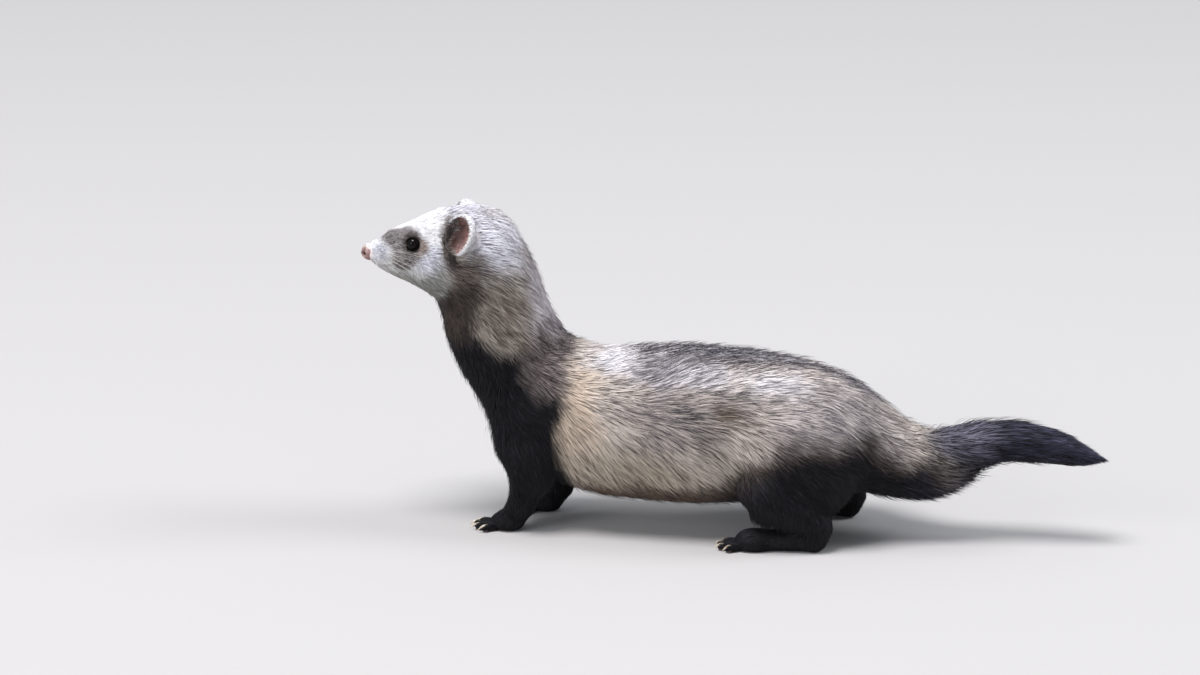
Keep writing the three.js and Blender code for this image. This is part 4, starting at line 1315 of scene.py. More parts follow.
def spots_on_skin(p):
    """The spots on the skin's unwrap that lie nearest to places beside it."""
    corners, uv = skin_triangles()
    return uv[nearest(corners.mean(1), p)].mean(1)


def bare_places(p):
    """True where no tuft grows: the eyes, the nose, the cups of the ears, the line of the mouth
    and the soles."""
    h = to_head(p)
    bare = p[:, 2] < 1.0
    for side in (LEFT, RIGHT):
        bare |= np.linalg.norm((h - on_side(EYE, side)) / (1.12, 1, 0.96), axis=1) < EYE_RADIUS + 0.4
        cup = in_ear(h, side)
        bare |= (np.linalg.norm(cup[:, [0, 2]], axis=1) < 0.92) & (np.abs(cup[:, 1]) < 1.3)
    bare |= np.linalg.norm((h - NOSE) / (NOSE_RADII + 0.2), axis=1) < 1
    bare |= (h[:, 0] < MOUTH_CORNER) & (np.abs(h[:, 2] - mouth_line(h[:, 0])) < 0.7)
    return bare


def combed(p, length, way, depth, lift, stations):
    """Draws the middle line of each tuft out from its root along the lie of the coat."""
    rise, _ = slope(p)
    up = unit(rise)
    way = unit(way - (way * up).sum(1, keepdims=True) * up)
    line = [p - up * 0.3]
    free, free_way = hanging(p, up)
    for t in stations[1:]:
        q = p + way * (length * t)[:, None]
        height = depth * (1 - lift * (1 - (1 - t) ** 1.7))
        q = drawn_to(q, -height, rounds=2)
        q += (p + free_way * (length * t)[:, None] - q) * (free * t)[:, None]
        q[:, 2] = np.maximum(q[:, 2], 0.35)
        line.append(q)
    return np.stack(line, axis=1), up, way


def coat_colours(p, way, length, stations, rng):
    """Each tuft's colours from root to tip, and whether it is of guard hairs. Each tuft is darker at
    its root, as painted shade deep in the coat.
    Single tufts differ a little, less where the coat is pale or long, and a few of the black ones are
    painted lighter and bluer as a painted sheen."""
    shown = p + way * (length * 0.8)[:, None]
    under, share, guard = markings_at(shown)
    is_guard = rng.uniform(0, 1, len(p)) < share * GUARD_SHARE
    fleck = 0.13 - 0.07 * ease((under.mean(1) - 0.6) / 0.3)
    fleck = np.where(length < SHORT_HAIR, fleck, 0.07)
    own = 1 + rng.normal(0, 1, len(p)) * fleck + 0.05 * waves(p, 6, 11)
    # Painted sheen: where the coat is near black, a few tufts are painted much lighter and a little
    # bluer, as glints of light on the black hair.
    painted_sheen_mask = ease((0.06 - under.mean(1)) / 0.04)
    own += painted_sheen_mask * 4.4 * rng.uniform(0, 1, len(p)) ** 6
    own = own[:, None] * (1 + painted_sheen_mask[:, None] * np.array((-0.02, 0, 0.1)))
    colours = []
    # Painted shade: each tuft is darker at its root than at its tip, as if deep in the coat. The guard
    # hairs then go on to their own dark tips.
    for t in stations:
        soft = under * (0.8 + 0.26 * t)
        dark = under * 0.7 + (guard - under * 0.7) * ease(np.array(t * 1.9))
        colours.append(np.where(is_guard[:, None], dark, soft) * own)
    return np.clip(np.stack(colours, axis=1), 0, 1), is_guard


def rooted(share_of, count, rng):
    """Roots over the skin, denser where this coat has its share and finer tufts, and their spots
    on the skin's unwrap."""
    corners, uv = skin_triangles()
    _, length, _ = lie_at(corners.mean(1))
    weight = (share_of(length) + 1e-4) / (length * tuft_width(length))
    roots, spots = scattered_on(corners, uv, weight, count, rng)
    keep = ~bare_places(roots) & (outline(roots) > -skin_depth(roots) - 1.2)
    return roots[keep], spots[keep]


def tail_tapered(length, roots, rng):
    """Towards its end the tail's hair is longest along its middle, which draws it to a point."""
    x = roots[:, 0]
    on_end = ease((x - 305) / 12) * rng.uniform(-1, 1, len(roots))
    aside = np.hypot(roots[:, 1], roots[:, 2] - 56.8 + 0.215 * (x - 306))
    length = length * (1 - 0.45 * ease((x - 300) / 20) * ease((aside - 0.5) / 4.5))
    return length * ((1 - 0.55 * ease((x - 318) / 14)) * (1 + 0.2 * on_end))


def lifted(roots, is_guard, rng):
    """How high each tuft rises in the coat: to its outline at 1, and past it as a stray. The hair
    is looser on the tail, the crown and the chest."""
    n = len(roots)
    x, z = roots[:, 0], roots[:, 2]
    stray = rng.uniform(0, 1, n) ** 3
    on_tail = ease((x - 225) / 40) * (1 - 0.4 * ease((x - 300) / 15))
    on_chest = ease((8 - x) / 10) * ease((128 - z) / 10) * ease((z - 45) / 12)
    on_crown = ease(1 - np.linalg.norm((roots - (-22, 0, 182)) / (24, 20, 14), axis=1)) * 0.9
    lift = np.where(is_guard, 0.95 + (0.55 + 0.3 * on_tail) * stray, 0.55 + rng.uniform(0, 0.5, n))
    lift += on_tail * rng.uniform(0, 0.35, n) + on_crown * rng.uniform(0.3, 1, n)
    return lift + on_chest * rng.uniform(0, 0.6, n)


def locked(lines, shades, roots, stations, lock, rng):
    """Draws tufts together into locks of so many. One tuft leads each lock, and its tufts share
    one shade."""
    n = len(roots)
    pull = rng.uniform(0.1, 0.45, n)
    leaders = rng.permutation(n)[: max(1, n // lock)]
    lead = leaders[nearest(roots[leaders], roots)]
    bend = pull[:, None] * np.array(stations)[None, :] ** 1.6
    lines = lines + (lines[lead] - lines) * bend[:, :, None]
    return lines, np.clip(shades * (1 + rng.normal(0, 0.06, n)[lead])[:, None, None], 0, 1)


def one_ring(values):
    """The values of tufts with two rings, for tufts with one."""
    return np.stack([values[:, 0], (values[:, 1] + values[:, 2]) / 2, values[:, 3]], axis=1)


def grow_coat(name, share_of, count, pieces, stations, lock, seed):
    """Tufts over the part of the skin where this coat grows: the fine dark guard hairs keep all
    their rings, and the soft undercoat has one."""
    rng = np.random.default_rng(seed)
    roots, spots = rooted(share_of, count, rng)
    n = len(roots)
    way, length, _ = lie_at(roots)
    swirl = np.column_stack([waves(roots, 11, s) for s in (21, 22, 23)])
    way = unit(way) + 0.14 * swirl + rng.normal(0, 0.08, (n, 3))
    length = length * bpy.context.scene.ferret_sizes.coat_length * rng.uniform(0.75, 1.15, n)
    shades, is_guard = coat_colours(roots, unit(way), length, stations, rng)
    length = tail_tapered(length, roots, rng)
    lift = lifted(roots, is_guard, rng)
    length = np.where(is_guard, length * 1.05, length * 0.95)
    lines, up, way = combed(roots, length, way, skin_depth(roots), lift, stations)
    lines, shades = locked(lines, shades, roots, stations, lock, rng)
    width = tuft_width(length) * rng.uniform(0.75, 1.25, n) * np.where(is_guard, 0.45, 0.92)
    across, lean = np.cross(way, up), rng.uniform(-0.6, 0.6, n)
    made = []
    for kind, chosen, rings in (("under", ~is_guard, 1), ("guard", is_guard, len(stations) - 2)):
        part = rng.permutation(np.flatnonzero(chosen))
        plain = rings < len(stations) - 2
        shape, shade = (one_ring(lines), one_ring(shades)) if plain else (lines, shades)
        for i, some in enumerate(np.array_split(part, pieces[kind])):
            roll = {"across": across[some], "up": up[some], "lean": lean[some]}
            wide = width[some, None] * np.array(RING_WIDTHS[:rings])[None]
            piece = f"{name}_{kind}_{i + 1}"
            made.append(tuft_mesh(piece, shape[some], wide, shade[some], spots[some], roll))
    return made


class FERRET_OT_coat(bpy.types.Operator):
    """The long coat of neck, trunk, thighs and tail"""

    bl_idname = "ferret.coat"
    bl_label = "Long coat"

    def execute(self, context):
        made = grow_coat(
            "coat",
            lambda length: ease((length - SHORT_HAIR + 1.5) / 3),
            context.scene.ferret_sizes.long_tufts,
            pieces={"under": 5, "guard": 3},
            stations=HAIR_STATIONS,
            lock=6,
            seed=5,
        )
        material = hair_material("ferret_hair", 0.62, 0.04)
        for ob in made:
            settle(ob, material, "cream_fur")
        return {"FINISHED"}


class FERRET_OT_short_coat(bpy.types.Operator):
    """The short fur of the head, lower legs and feet"""

    bl_idname = "ferret.short_coat"
    bl_label = "Short coat"

    def execute(self, context):
        made = grow_coat(
            "fur",
            lambda length: ease((SHORT_HAIR + 1.5 - length) / 3),
            context.scene.ferret_sizes.short_tufts,
            pieces={"under": 2, "guard": 1},
            stations=(0, 0.4, 1),
            lock=5,
            seed=6,
        )
        material = hair_material("ferret_short_hair", 0.65, 0.04)
        for ob in made:
            settle(ob, material, "pale_fur")
        return {"FINISHED"}


# The head's own pieces
LID_RING = 3.75
LID_THICKNESS = 0.6
NOSTRIL = (-0.72, 0.62, -0.12)
NOSTRIL_END = (-0.3, 0.95, -0.28)
NOSE_FLAT = 0.35  # taken off the pad's top


def eye_material(side, word):
    """A wet eye, near black: a very dark brown iris round a black pupil under a clear cornea,
    whose polish gives the bright catchlights."""
    material, tree = new_material("wet_dark_eye_" + word)
    eye = eye_matrix(side)
    pole = spot_in_frame(eye[:3, 3] + eye[:3, 2] * EYE_RADIUS)
    place = node(tree, "ShaderNodeTexCoord", (-900, 0))
    away = node(
        tree,
        "ShaderNodeVectorMath",
        (-700, 0),
        {"operation": "DISTANCE", 1: tuple(pole)},
        {0: (place, "Object")},
    )
    iris = node(
        tree,
        "ShaderNodeMapRange",
        (-500, 0),
        {"From Min": 1.5 * MM, "From Max": 2.1 * MM},
        {"Value": (away, "Value")},
    )
    tone = node(
        tree,
        "ShaderNodeMix",
        (-200, 0),
        {"data_type": "RGBA", 6: (*linear("#030304"), 1), 7: (*linear("#120c0b"), 1)},
        {0: (iris, "Result")},
    )
    shader = node(
        tree,
        "ShaderNodeBsdfPrincipled",
        (200, 0),
        {
            "Roughness": 0.08,
            "IOR": 1.36,
            "Specular IOR Level": 0.2,
            "Coat Weight": 0.12,
            "Coat IOR": 1.36,
            "Coat Roughness": 0.02,
        },
        {"Base Color": (tone, 2)},
    )
    finished(tree, shader)
    return material


class FERRET_OT_eyes(bpy.types.Operator):
    """The two eyeballs and the dark rims of their lids"""

    bl_idname = "ferret.eyes"
    bl_label = "Eyes and lids"

    def execute(self, context):
        lid_skin = bare_material("dark_lid_skin", "#050404", "#0d0a09", 0.5, 0.8, 0.3, shine=0.05)
        for side, word in SIDES:
            alone()
            bpy.ops.mesh.primitive_uv_sphere_add(segments=48, ring_count=32, radius=EYE_RADIUS)
            ball = bpy.context.object
            ball.name = "eyeball_" + word
            placed(ball, eye_matrix(side))
            settle(ball, eye_material(side, word), "eye_surface", "eye_" + word)
            lid = self.lids()
            lid.name = "lids_" + word
            placed(lid, eye_matrix(side))
            settle(lid, lid_skin, "eye_surface")
        return {"FINISHED"}

    def lids(self):
        """A ring round the eyeball, almond in shape: longer than high, drawn to a corner at the
        front, and thinner above and below."""
        alone()
        bpy.ops.mesh.primitive_torus_add(
            major_segments=48,
            minor_segments=14,
            major_radius=LID_RING,
            minor_radius=LID_THICKNESS,
        )
        lid = bpy.context.object
        p = points_of(lid)
        turn = np.arctan2(p[:, 1], p[:, 0])
        middle = np.column_stack([np.cos(turn) * LID_RING, np.sin(turn) * LID_RING, 0 * turn])
        p = middle + (p - middle) * (0.75 + 0.3 * np.cos(turn) ** 2)[:, None]
        front = np.maximum(np.cos(turn), 0)
        p[:, 0] *= 1.0 + 0.26 * front**5
        p[:, 1] -= 0.7 * front**4
        p[:, 1] *= 0.95 - 0.03 * (np.sin(turn) < 0)
        r = np.minimum(np.hypot(p[:, 0], p[:, 1]), 4.2)
        p[:, 2] += np.sqrt(np.maximum((EYE_RADIUS + 0.25) ** 2 - r**2, 0.3))
        set_points(lid, p)
        return lid


def notch(away, reach):
    """How deep a rounded notch is at points so far away from its middle."""
    return np.exp(-((away / reach) ** 2))


class FERRET_OT_nose(bpy.types.Operator):
    """The bare nose pad with its nostrils and groove"""

    bl_idname = "ferret.nose"
    bl_label = "Nose"

    def execute(self, context):
        alone()
        bpy.ops.mesh.primitive_ico_sphere_add(subdivisions=6, radius=1)
        nose = bpy.context.object
        nose.name = "nose_pad"
        u = points_of(nose)
        p = u * NOSE_RADII
        # the nostrils are hollows, which get painted shade at their bottoms
        shaded_hollows = []
        for side in (LEFT, RIGHT):
            p += self.nostril(u, side)
            spot = NOSE + unit(on_side(NOSTRIL, side)) * NOSE_RADII * 0.72
            shaded_hollows.append((spot_in_frame(spot), 1.5 * MM))
        # groove down the middle to the lip, and a flatter top
        groove = notch(u[:, 1], 0.08) * ease((0.3 - u[:, 2]) / 0.6) * (u[:, 0] < 0)
        p += -u * (0.5 * groove)[:, None]
        p[:, 2] -= NOSE_FLAT * np.maximum(u[:, 2], 0) ** 2
        set_points(nose, p)
        place = np.eye(4)
        place[:3, 3] = NOSE
        placed(nose, place)
        skin = bare_material(
            "moist_nose_skin", "#6d4d49", "#a38782", 0.42, 0.34, 0.5, 0.05, shaded_hollows=shaded_hollows
        )
        settle(nose, skin, "nose_skin", "nose")
        return {"FINISHED"}

    def nostril(self, u, side):
        """A deep round opening with a raised rim, which trails off in a slit to the side."""
        hole = unit(on_side(NOSTRIL, side))
        way = unit(on_side(NOSTRIL_END, side)) - hole
        away = np.linalg.norm(u - hole, axis=1)
        t = np.clip(((u - hole) @ way) / (way @ way), 0, 1)
        from_slit = np.linalg.norm(u - hole - t[:, None] * way, axis=1)
        depth = 2.6 * notch(away, 0.25) + 1.1 * notch(from_slit, 0.13) * (1 - 0.5 * t)
        return u * (0.25 * notch(away - 0.42, 0.14) - depth)[:, None]


class FERRET_OT_ears(bpy.types.Operator):
    """The two ears: thin rounded cups, open forwards and out"""

    bl_idname = "ferret.ears"
    bl_label = "Ears"

    def execute(self, context):
        skin = bare_material("thin_ear_skin", "#75504b", "#a77e77", 0.6, 0.55, 0.25, 0.08)
        for side, word in SIDES:
            alone()
            bpy.ops.mesh.primitive_uv_sphere_add(
                segments=48, ring_count=32, radius=1, rotation=(math.pi / 2, 0, 0)
            )
            ear = bpy.context.object
            ear.name = "ear_cup_" + word
            bpy.ops.object.transform_apply(location=False, rotation=True, scale=False)
            bpy.ops.object.mode_set(mode="EDIT")
            bpy.ops.mesh.select_all(action="SELECT")
            bpy.ops.mesh.bisect(
                plane_co=(0, 0, 0), plane_no=(0, 1, 0), clear_outer=True, clear_inner=False
            )
            bpy.ops.object.mode_set(mode="OBJECT")
            apply_modifier(ear, "SOLIDIFY", thickness=0.1, offset=-1.0)
            apply_modifier(ear, "BEVEL", width=0.03, segments=2, limit_method="ANGLE")
            p = points_of(ear)
            # the rim is a little wider than the cup, and waves in and out
            rim = ease((p[:, 1] + 0.35) / 0.35)
            p[:, 0] *= 1 + 0.05 * rim
            p[:, 2] *= 1 + 0.04 * rim
            p[:, 1] += 0.06 * np.sin(3 * p[:, 2] + 1) * rim
            set_points(ear, p)
            placed(ear, ear_matrix(side))
            settle(ear, skin, "ear_skin", "ear_" + word)
        return {"FINISHED"}


# The hair on each ear: its kind, how many, its colour and its width. The fringe hangs from the head
# over the ear's front edge.
EAR_HAIR = (
    ("back", 2400, "silver", 0.5),
    ("rim", 3600, "white", 0.34),
    ("hollow", 640, "fawn", 0.15),
    ("fringe", 1500, "band", 0.24),
)
# Each ear hair's brightness from root to tip: painted shade darkens it towards its root.
PAINTED_ROOT_SHADE = (0.7, 0.9, 1.0, 1.05)  # from root to tip
NOSE_HAIRS = 2600  # spread all round, of which those on the pad's top are kept


def ear_lines(kind, side, count, rng):
    """Lines of hair on an ear, in the cup's own units. Round it, 0 is in front and a quarter turn
    is above."""
    s = np.array(HAIR_STATIONS)[None, :]
    turn = rng.uniform(-math.pi, math.pi, count)[:, None] + rng.normal(0, 0.09, count)[:, None] * s
    if kind == "back":
        polar = np.radians(rng.uniform(30, 70, count))[:, None] + 0.45 * s
        radius = 1.0 + rng.uniform(0.04, 0.1, count)[:, None] * s
    elif kind == "rim":
        polar = np.radians(rng.uniform(60, 88, count))[:, None]
        polar = polar + rng.uniform(0.2, 0.55, count)[:, None] * s
        radius = 1.02 + rng.uniform(-0.06, 0.12, count)[:, None] * s
    elif kind == "hollow":
        polar = np.radians(rng.uniform(15, 84, count))[:, None] + 0.26 * s
        radius = 0.89 - rng.uniform(0.02, 0.16, count)[:, None] * s
    else:
        turn = rng.uniform(-1.9, 0.8, count)[:, None] + 0 * s
        polar = np.full((count, len(HAIR_STATIONS)), math.pi / 2)
        radius = rng.uniform(0.98, 1.35, count)[:, None] + 0 * s
    across = side * np.sin(polar) * np.cos(turn)
    out = -np.cos(polar) + 0 * turn
    line = np.stack([across, out, np.sin(polar) * np.sin(turn)], axis=2) * radius[:, :, None]
    if kind == "fringe":
        sweep = rng.uniform(0.3, 0.85, count)[:, None] * s
        line[:, :, 0] -= side * 0.8 * sweep
        line[:, :, 1] += rng.uniform(0.02, 0.3, count)[:, None] * np.array((0, 0.6, 1, 0.9))
        line[:, :, 2] -= (0.5 + rng.normal(0, 0.12, count)[:, None]) * sweep
    return line


def fringe_tint(roots, line, tone, rng):
    """The fringe takes the colours of the fur beside it, and close to the cup its own brown."""
    mask_dark = np.array(bpy.context.scene.ferret_colours.mask_dark)
    under, share, guard = markings_at(roots)
    dark = rng.uniform(0, 1, len(roots)) < 0.5 + 0.5 * share
    close = ease((1.4 - np.hypot(line[:, 0, 0], line[:, 0, 2])) / 0.25)[:, None]
    pale = under * 0.9 + (tone * 0.9 - under * 0.9) * close
    deep = under * 0.3 + guard * 0.7
    deep += (mask_dark - deep) * close
    return np.where(dark[:, None], deep, pale)


def ear_hair(side, kind, count, colour, width, rng):
    """One kind of hair on one ear: its lines, shades, widths and the way up from the ear."""
    place = ear_matrix(side)
    line = ear_lines(kind, side, count, rng)
    h = line @ place[:3, :3].T + place[:3, 3]
    p = from_head(h.reshape(-1, 3)).reshape(h.shape)
    tone = np.array(getattr(bpy.context.scene.ferret_colours, colour))
    tint = np.tile(tone, (count, 1))
    up = np.tile((0, 1.0, 0), (count, 1))
    if kind == "fringe":
        p[:, 0] = drawn_to(p[:, 0], -1.2, rounds=3)
        p[:, 1] = drawn_to(p[:, 1], 0.2, rounds=1, most=1.5)
        tint = fringe_tint(p[:, 0], line, tone, rng)
        keep = np.ones(count, bool)
    else:
        keep = outline(p[:, -1]) > (-9 if kind == "hollow" else 0.1)
    if kind == "back":
        up = line[:, 1]
    elif kind == "rim":
        # the rim's white stops where the fringe hangs over it, in front and below
        x, z = line[:, 0, 0], line[:, 0, 2]
        ahead = (side * x * 0.6 - z * 0.8) / np.hypot(x, z)
        keep &= ahead < rng.uniform(0.1, 0.4, count)
        up = up + 0.5 * line[:, 2]
    # painted shade towards each hair's root
    shade = tint[:, None, :] * np.array(PAINTED_ROOT_SHADE)[None, :, None]
    shade = np.clip(shade * (1 + rng.normal(0, 0.06, count))[:, None, None], 0, 1)
    widths = width * rng.uniform(0.7, 1.2, keep.sum())
    return p[keep], shade[keep], widths, unit(up @ place[:3, :3].T @ HEAD.T)[keep]


def nose_hair(rng):
    """The muzzle's white, which reaches forward over the top of the nose pad: its lines, shades,
    widths and the way up from the pad."""
    tones = bpy.context.scene.ferret_colours
    u = unit(rng.normal(0, 1, (NOSE_HAIRS, 3)))
    edge = u[:, 2] - 0.24 + 0.46 * u[:, 0]
    on_top = (edge > 0) & (u[:, 0] < 0.6)
    edge, u = edge[on_top], u[on_top]
    back = np.array((1.0, 0, 0.1)) + rng.normal(0, 0.12, u.shape)
    back = unit(back - (back * u).sum(1, keepdims=True) * u)
    line = [unit(u + back * 0.42 * s) * (0.985 + 0.1 * s) for s in HAIR_STATIONS]
    h = np.stack(line, axis=1) * NOSE_RADII
    h[:, :, 2] -= NOSE_FLAT * np.maximum(u[:, 2], 0)[:, None] ** 2
    p = from_head((h + NOSE).reshape(-1, 3)).reshape(h.shape)
    rim, white = np.array(tones.nose_rim), np.array(tones.white)
    shade = rim + (white - rim) * ease(edge / 0.35)[:, None]
    shade = np.clip(shade * rng.normal(0.95, 0.06, (len(u), 1)), 0, 1)
    shade = np.repeat(shade[:, None], len(HAIR_STATIONS), axis=1)
    return p, shade, rng.uniform(0.18, 0.3, len(u)), u @ HEAD.T


class FERRET_OT_ear_fur(bpy.types.Operator):
    """White fur over the ears, their rims and the nose's top, and the dark fringe before the ears"""

    bl_idname = "ferret.ear_fur"
    bl_label = "Ear and nose fur"

    def execute(self, context):
        rng = np.random.default_rng(31)
        grown = [ear_hair(side, *row, rng) for side in (LEFT, RIGHT) for row in EAR_HAIR]
        grown.append(nose_hair(rng))
        lines, shades, widths, ups = (np.concatenate(values) for values in zip(*grown))
        roll = {
            "across": np.cross(unit(lines[:, 1] - lines[:, 0]), ups),
            "up": ups,
            "lean": rng.uniform(-0.5, 0.5, len(lines)),
        }
        wide = widths[:, None] * np.array(RING_WIDTHS)[None]
        spots = spots_on_skin(lines[:, 0])
        fur = tuft_mesh("ear_fur", lines, wide, shades, spots, roll)
        settle(fur, hair_material("ear_hair", 0.65, 0.1), "pale_fur")
        return {"FINISHED"}


WHISKER_ROWS = 4
WHISKER_COLUMNS = 5
BROW_WHISKERS = 3
WHISKER_STATIONS = 8


def whisker(h, way, length):
    """A whisker's line, from its root near a place on the head. It bends back and down."""
    root = drawn_to(from_head(h[None]), -1.0, rounds=3)[0]
    t = np.linspace(0, 1, WHISKER_STATIONS)[:, None]
    return root + unit(way) * length * t + np.array((0.25, 0, -0.16)) * length * t**2


def whisker_lines(side, longest, rng):
    """Rows of whiskers on one side of the muzzle, longer towards the back, and a few on the brow."""
    for row in range(WHISKER_ROWS):
        for column in range(WHISKER_COLUMNS):
            place = (-78.5 + 2.3 * column, 5.0 + 0.9 * column, 158.6 - 1.5 * row + 0.25 * column)
            way = on_side((0.30 + 0.16 * column, 1.0, 0.15 - 0.16 * row), side)
            way = HEAD @ (way + rng.normal(0, 0.07, 3))
            length = longest * (0.45 + 0.13 * column) * rng.uniform(0.85, 1.1)
            yield whisker(on_side(place, side), way, length)
    for k in range(BROW_WHISKERS):
        place = on_side((-58 + 1.6 * k, 9.5 + 1.2 * k, 171.5), side)
        yield whisker(place, HEAD @ on_side((0.5, 0.55, 0.45), side), 13.0 - 2 * k)


class FERRET_OT_whiskers(bpy.types.Operator):
    """The whiskers of the muzzle and brows"""

    bl_idname = "ferret.whiskers"
    bl_label = "Whiskers"

    def execute(self, context):
        longest = context.scene.ferret_sizes.whisker_length / MM
        rng = np.random.default_rng(9)
        lines = np.stack(
            [line for side in (LEFT, RIGHT) for line in whisker_lines(side, longest, rng)]
        )
        n = len(lines)
        along = np.linspace(0, 1, WHISKER_STATIONS)[1:-1]
        widths = np.tile(0.12 * (1 - along) ** 0.8 + 0.03, (n, 1))
        up = np.tile((0, 0, 1.0), (n, 1))
        across = np.cross(lines[:, 1] - lines[:, 0], up)
        roll = {"across": across, "up": up, "lean": np.zeros(n)}
        colours = np.tile(np.array(linear("#d9d2c8")), (n, WHISKER_STATIONS, 1))
        spots = spots_on_skin(lines[:, 0])
        made = tuft_mesh("whiskers", lines, widths, colours, spots, roll, thick=0.8, soft=0)
        settle(made, plain_material("whisker_keratin", "#ded8cf", 0.3), "whisker_hair")
        return {"FINISHED"}


# Feet
UP = np.array((0, 0, 1))
CLAW_CUTS = 8


class FERRET_OT_claws(bpy.types.Operator):
    """Twenty curved claws and the pads under the feet"""

    bl_idname = "ferret.claws"
    bl_label = "Claws and pads"

    def execute(self, context):
        self.claws()
        self.pads()
        return {"FINISHED"}

    def claws(self):
        alone()
        bpy.ops.mesh.primitive_cone_add(vertices=12, radius1=1, radius2=0.08, depth=1)
        first = bpy.context.object
        bpy.ops.object.mode_set(mode="EDIT")
        for k in range(1, CLAW_CUTS):
            bpy.ops.mesh.select_all(action="SELECT")
            bpy.ops.mesh.bisect(plane_co=(0, 0, k / CLAW_CUTS - 0.5), plane_no=(0, 0, 1))
        bpy.ops.object.mode_set(mode="OBJECT")
        cone = points_of(first)
        made = []
        for foot, side, _, at in STANCE:
            for ahead, _, tip in toes_of(foot, side, at):
                made.append(copied(first, self.curved(cone, tip, ahead, foot["claw"])))
        bpy.data.objects.remove(first)
        claws = joined(made, "claws")
        choose(claws)
        bpy.ops.object.mode_set(mode="EDIT")
        bpy.ops.mesh.select_all(action="SELECT")
        bpy.ops.mesh.normals_make_consistent(inside=False)
        bpy.ops.object.mode_set(mode="OBJECT")
        horn = bare_material("claw_horn", "#b9a58c", "#e2d6c2", 0.9, 0.35, 0.15)
        settle(claws, horn, "claw_horn")

    def curved(self, cone, tip, ahead, length):
        """The cone's points as a claw that arches out of the end of a toe and down to the floor."""
        t = cone[:, 2] + 0.5
        fuller = (1 - 0.86 * t**1.4) / np.maximum(1 - 0.92 * t, 0.08)
        reach = -1.4 + t * (length + 0.2)
        height = 0.75 + 0.75 * np.sin(t * 2.4) - 2.3 * t * t
        centre = tip + ahead * reach[:, None] + UP * height[:, None]
        wide = np.cross(UP, ahead) * (cone[:, 0] * 0.78 * fuller)[:, None]
        return centre + wide + UP * (cone[:, 1] * 1.12 * fuller)[:, None]

    def pads(self):
        alone()
        bpy.ops.mesh.primitive_uv_sphere_add(segments=20, ring_count=12, radius=1)
        first = bpy.context.object
        ball = points_of(first)
        made = []
        for foot, side, _, at in STANCE:
            spots = [(*(tip - ahead * 0.4)[:2], 2.0, 1.9) for ahead, _, tip in toes_of(foot, side, at)]
            spots.append((at[0] - 1.5, at[1], 4.6, 5.2))
            for x, y, long, wide in spots:
                p = ball * (long, wide, 0.75) + (x, y, 0.8)
                p[:, 2] = np.maximum(p[:, 2], 0.05)
                made.append(copied(first, p))
        bpy.data.objects.remove(first)
        skin = bare_material("foot_pad_skin", "#3a2c2b", "#5e4642", 0.6, 0.6, 0.5)
        settle(joined(made, "foot_pads"), skin, "nose_skin")


# The stage, in metres but for the camera's places
LIGHTS = (
    ("light_top", (-1.2, -1.4, 5.2), 2.4, 330, "#fbf9fd"),
    ("light_front", (-3.8, -4.4, 2.6), 2.8, 120, "#f8f9ff"),
    ("light_back", (3.9, 0.8, 3.7), 2.4, 125, "#f4f7ff"),
)
LIT_MIDDLE = Vector((0, 0, 0.08))
VIEW_TURN = math.radians(9)
VIEW_RISE = math.radians(15)
VIEW_MIDDLE = (48.6, 104.3, 20)  # across the picture, up it and towards the camera
VIEW_DISTANCE = 2600
LENS = 136.5


class FERRET_OT_stage(bpy.types.Operator):
    """The pale floor, the soft light and the camera"""

    bl_idname = "ferret.stage"
    bl_label = "Stage"

    def execute(self, context):
        scene = context.scene
        alone()
        bpy.ops.mesh.primitive_plane_add(size=scene.ferret_sizes.floor_size)
        floor = bpy.context.object
        floor.name = "floor"
        floor.data.materials.append(plain_material("matt_paper", "#b9b7b4", 0.9))
        self.light(context)
        self.camera(context)
        scene.view_settings.view_transform = "Standard"
        return {"FINISHED"}

    def light(self, context):
        world = bpy.data.worlds.new("studio")
        world.use_nodes = True
        sky = world.node_tree.nodes["Background"]
        sky.inputs["Color"].default_value = (*linear("#dde2ec"), 1)
        sky.inputs["Strength"].default_value = 0.55
        context.scene.world = world
        for name, place, size, power, code in LIGHTS:
            lamp = bpy.data.lights.new(name, "AREA")
            lamp.shape = "DISK"
            lamp.size = size
            lamp.energy = power
            lamp.color = linear(code)
            ob = bpy.data.objects.new(name, lamp)
            ob.location = place
            ob.rotation_mode = "QUATERNION"
            ob.rotation_quaternion = (LIT_MIDDLE - Vector(place)).to_track_quat("-Z", "Y")
            context.collection.objects.link(ob)

    def camera(self, context):
        camera = bpy.data.objects.new("camera", bpy.data.cameras.new("camera"))
        c, s = math.cos(VIEW_TURN), math.sin(VIEW_TURN)
        right = np.array((c, s, 0))
        up = np.array((-s * math.sin(VIEW_RISE), c * math.sin(VIEW_RISE), math.cos(VIEW_RISE)))
        back = np.cross(right, up)
        middle = np.array(VIEW_MIDDLE) @ (right, up, back)
        camera.location = in_frame(middle + VIEW_DISTANCE * back)
        camera.rotation_mode = "QUATERNION"
        camera.rotation_quaternion = Vector(back).to_track_quat("Z", "Y")
        camera.data.lens = LENS
        camera.data.sensor_width = 36
        camera.data.clip_start = 0.05
        camera.data.clip_end = 40
        context.collection.objects.link(camera)
        context.scene.camera = camera


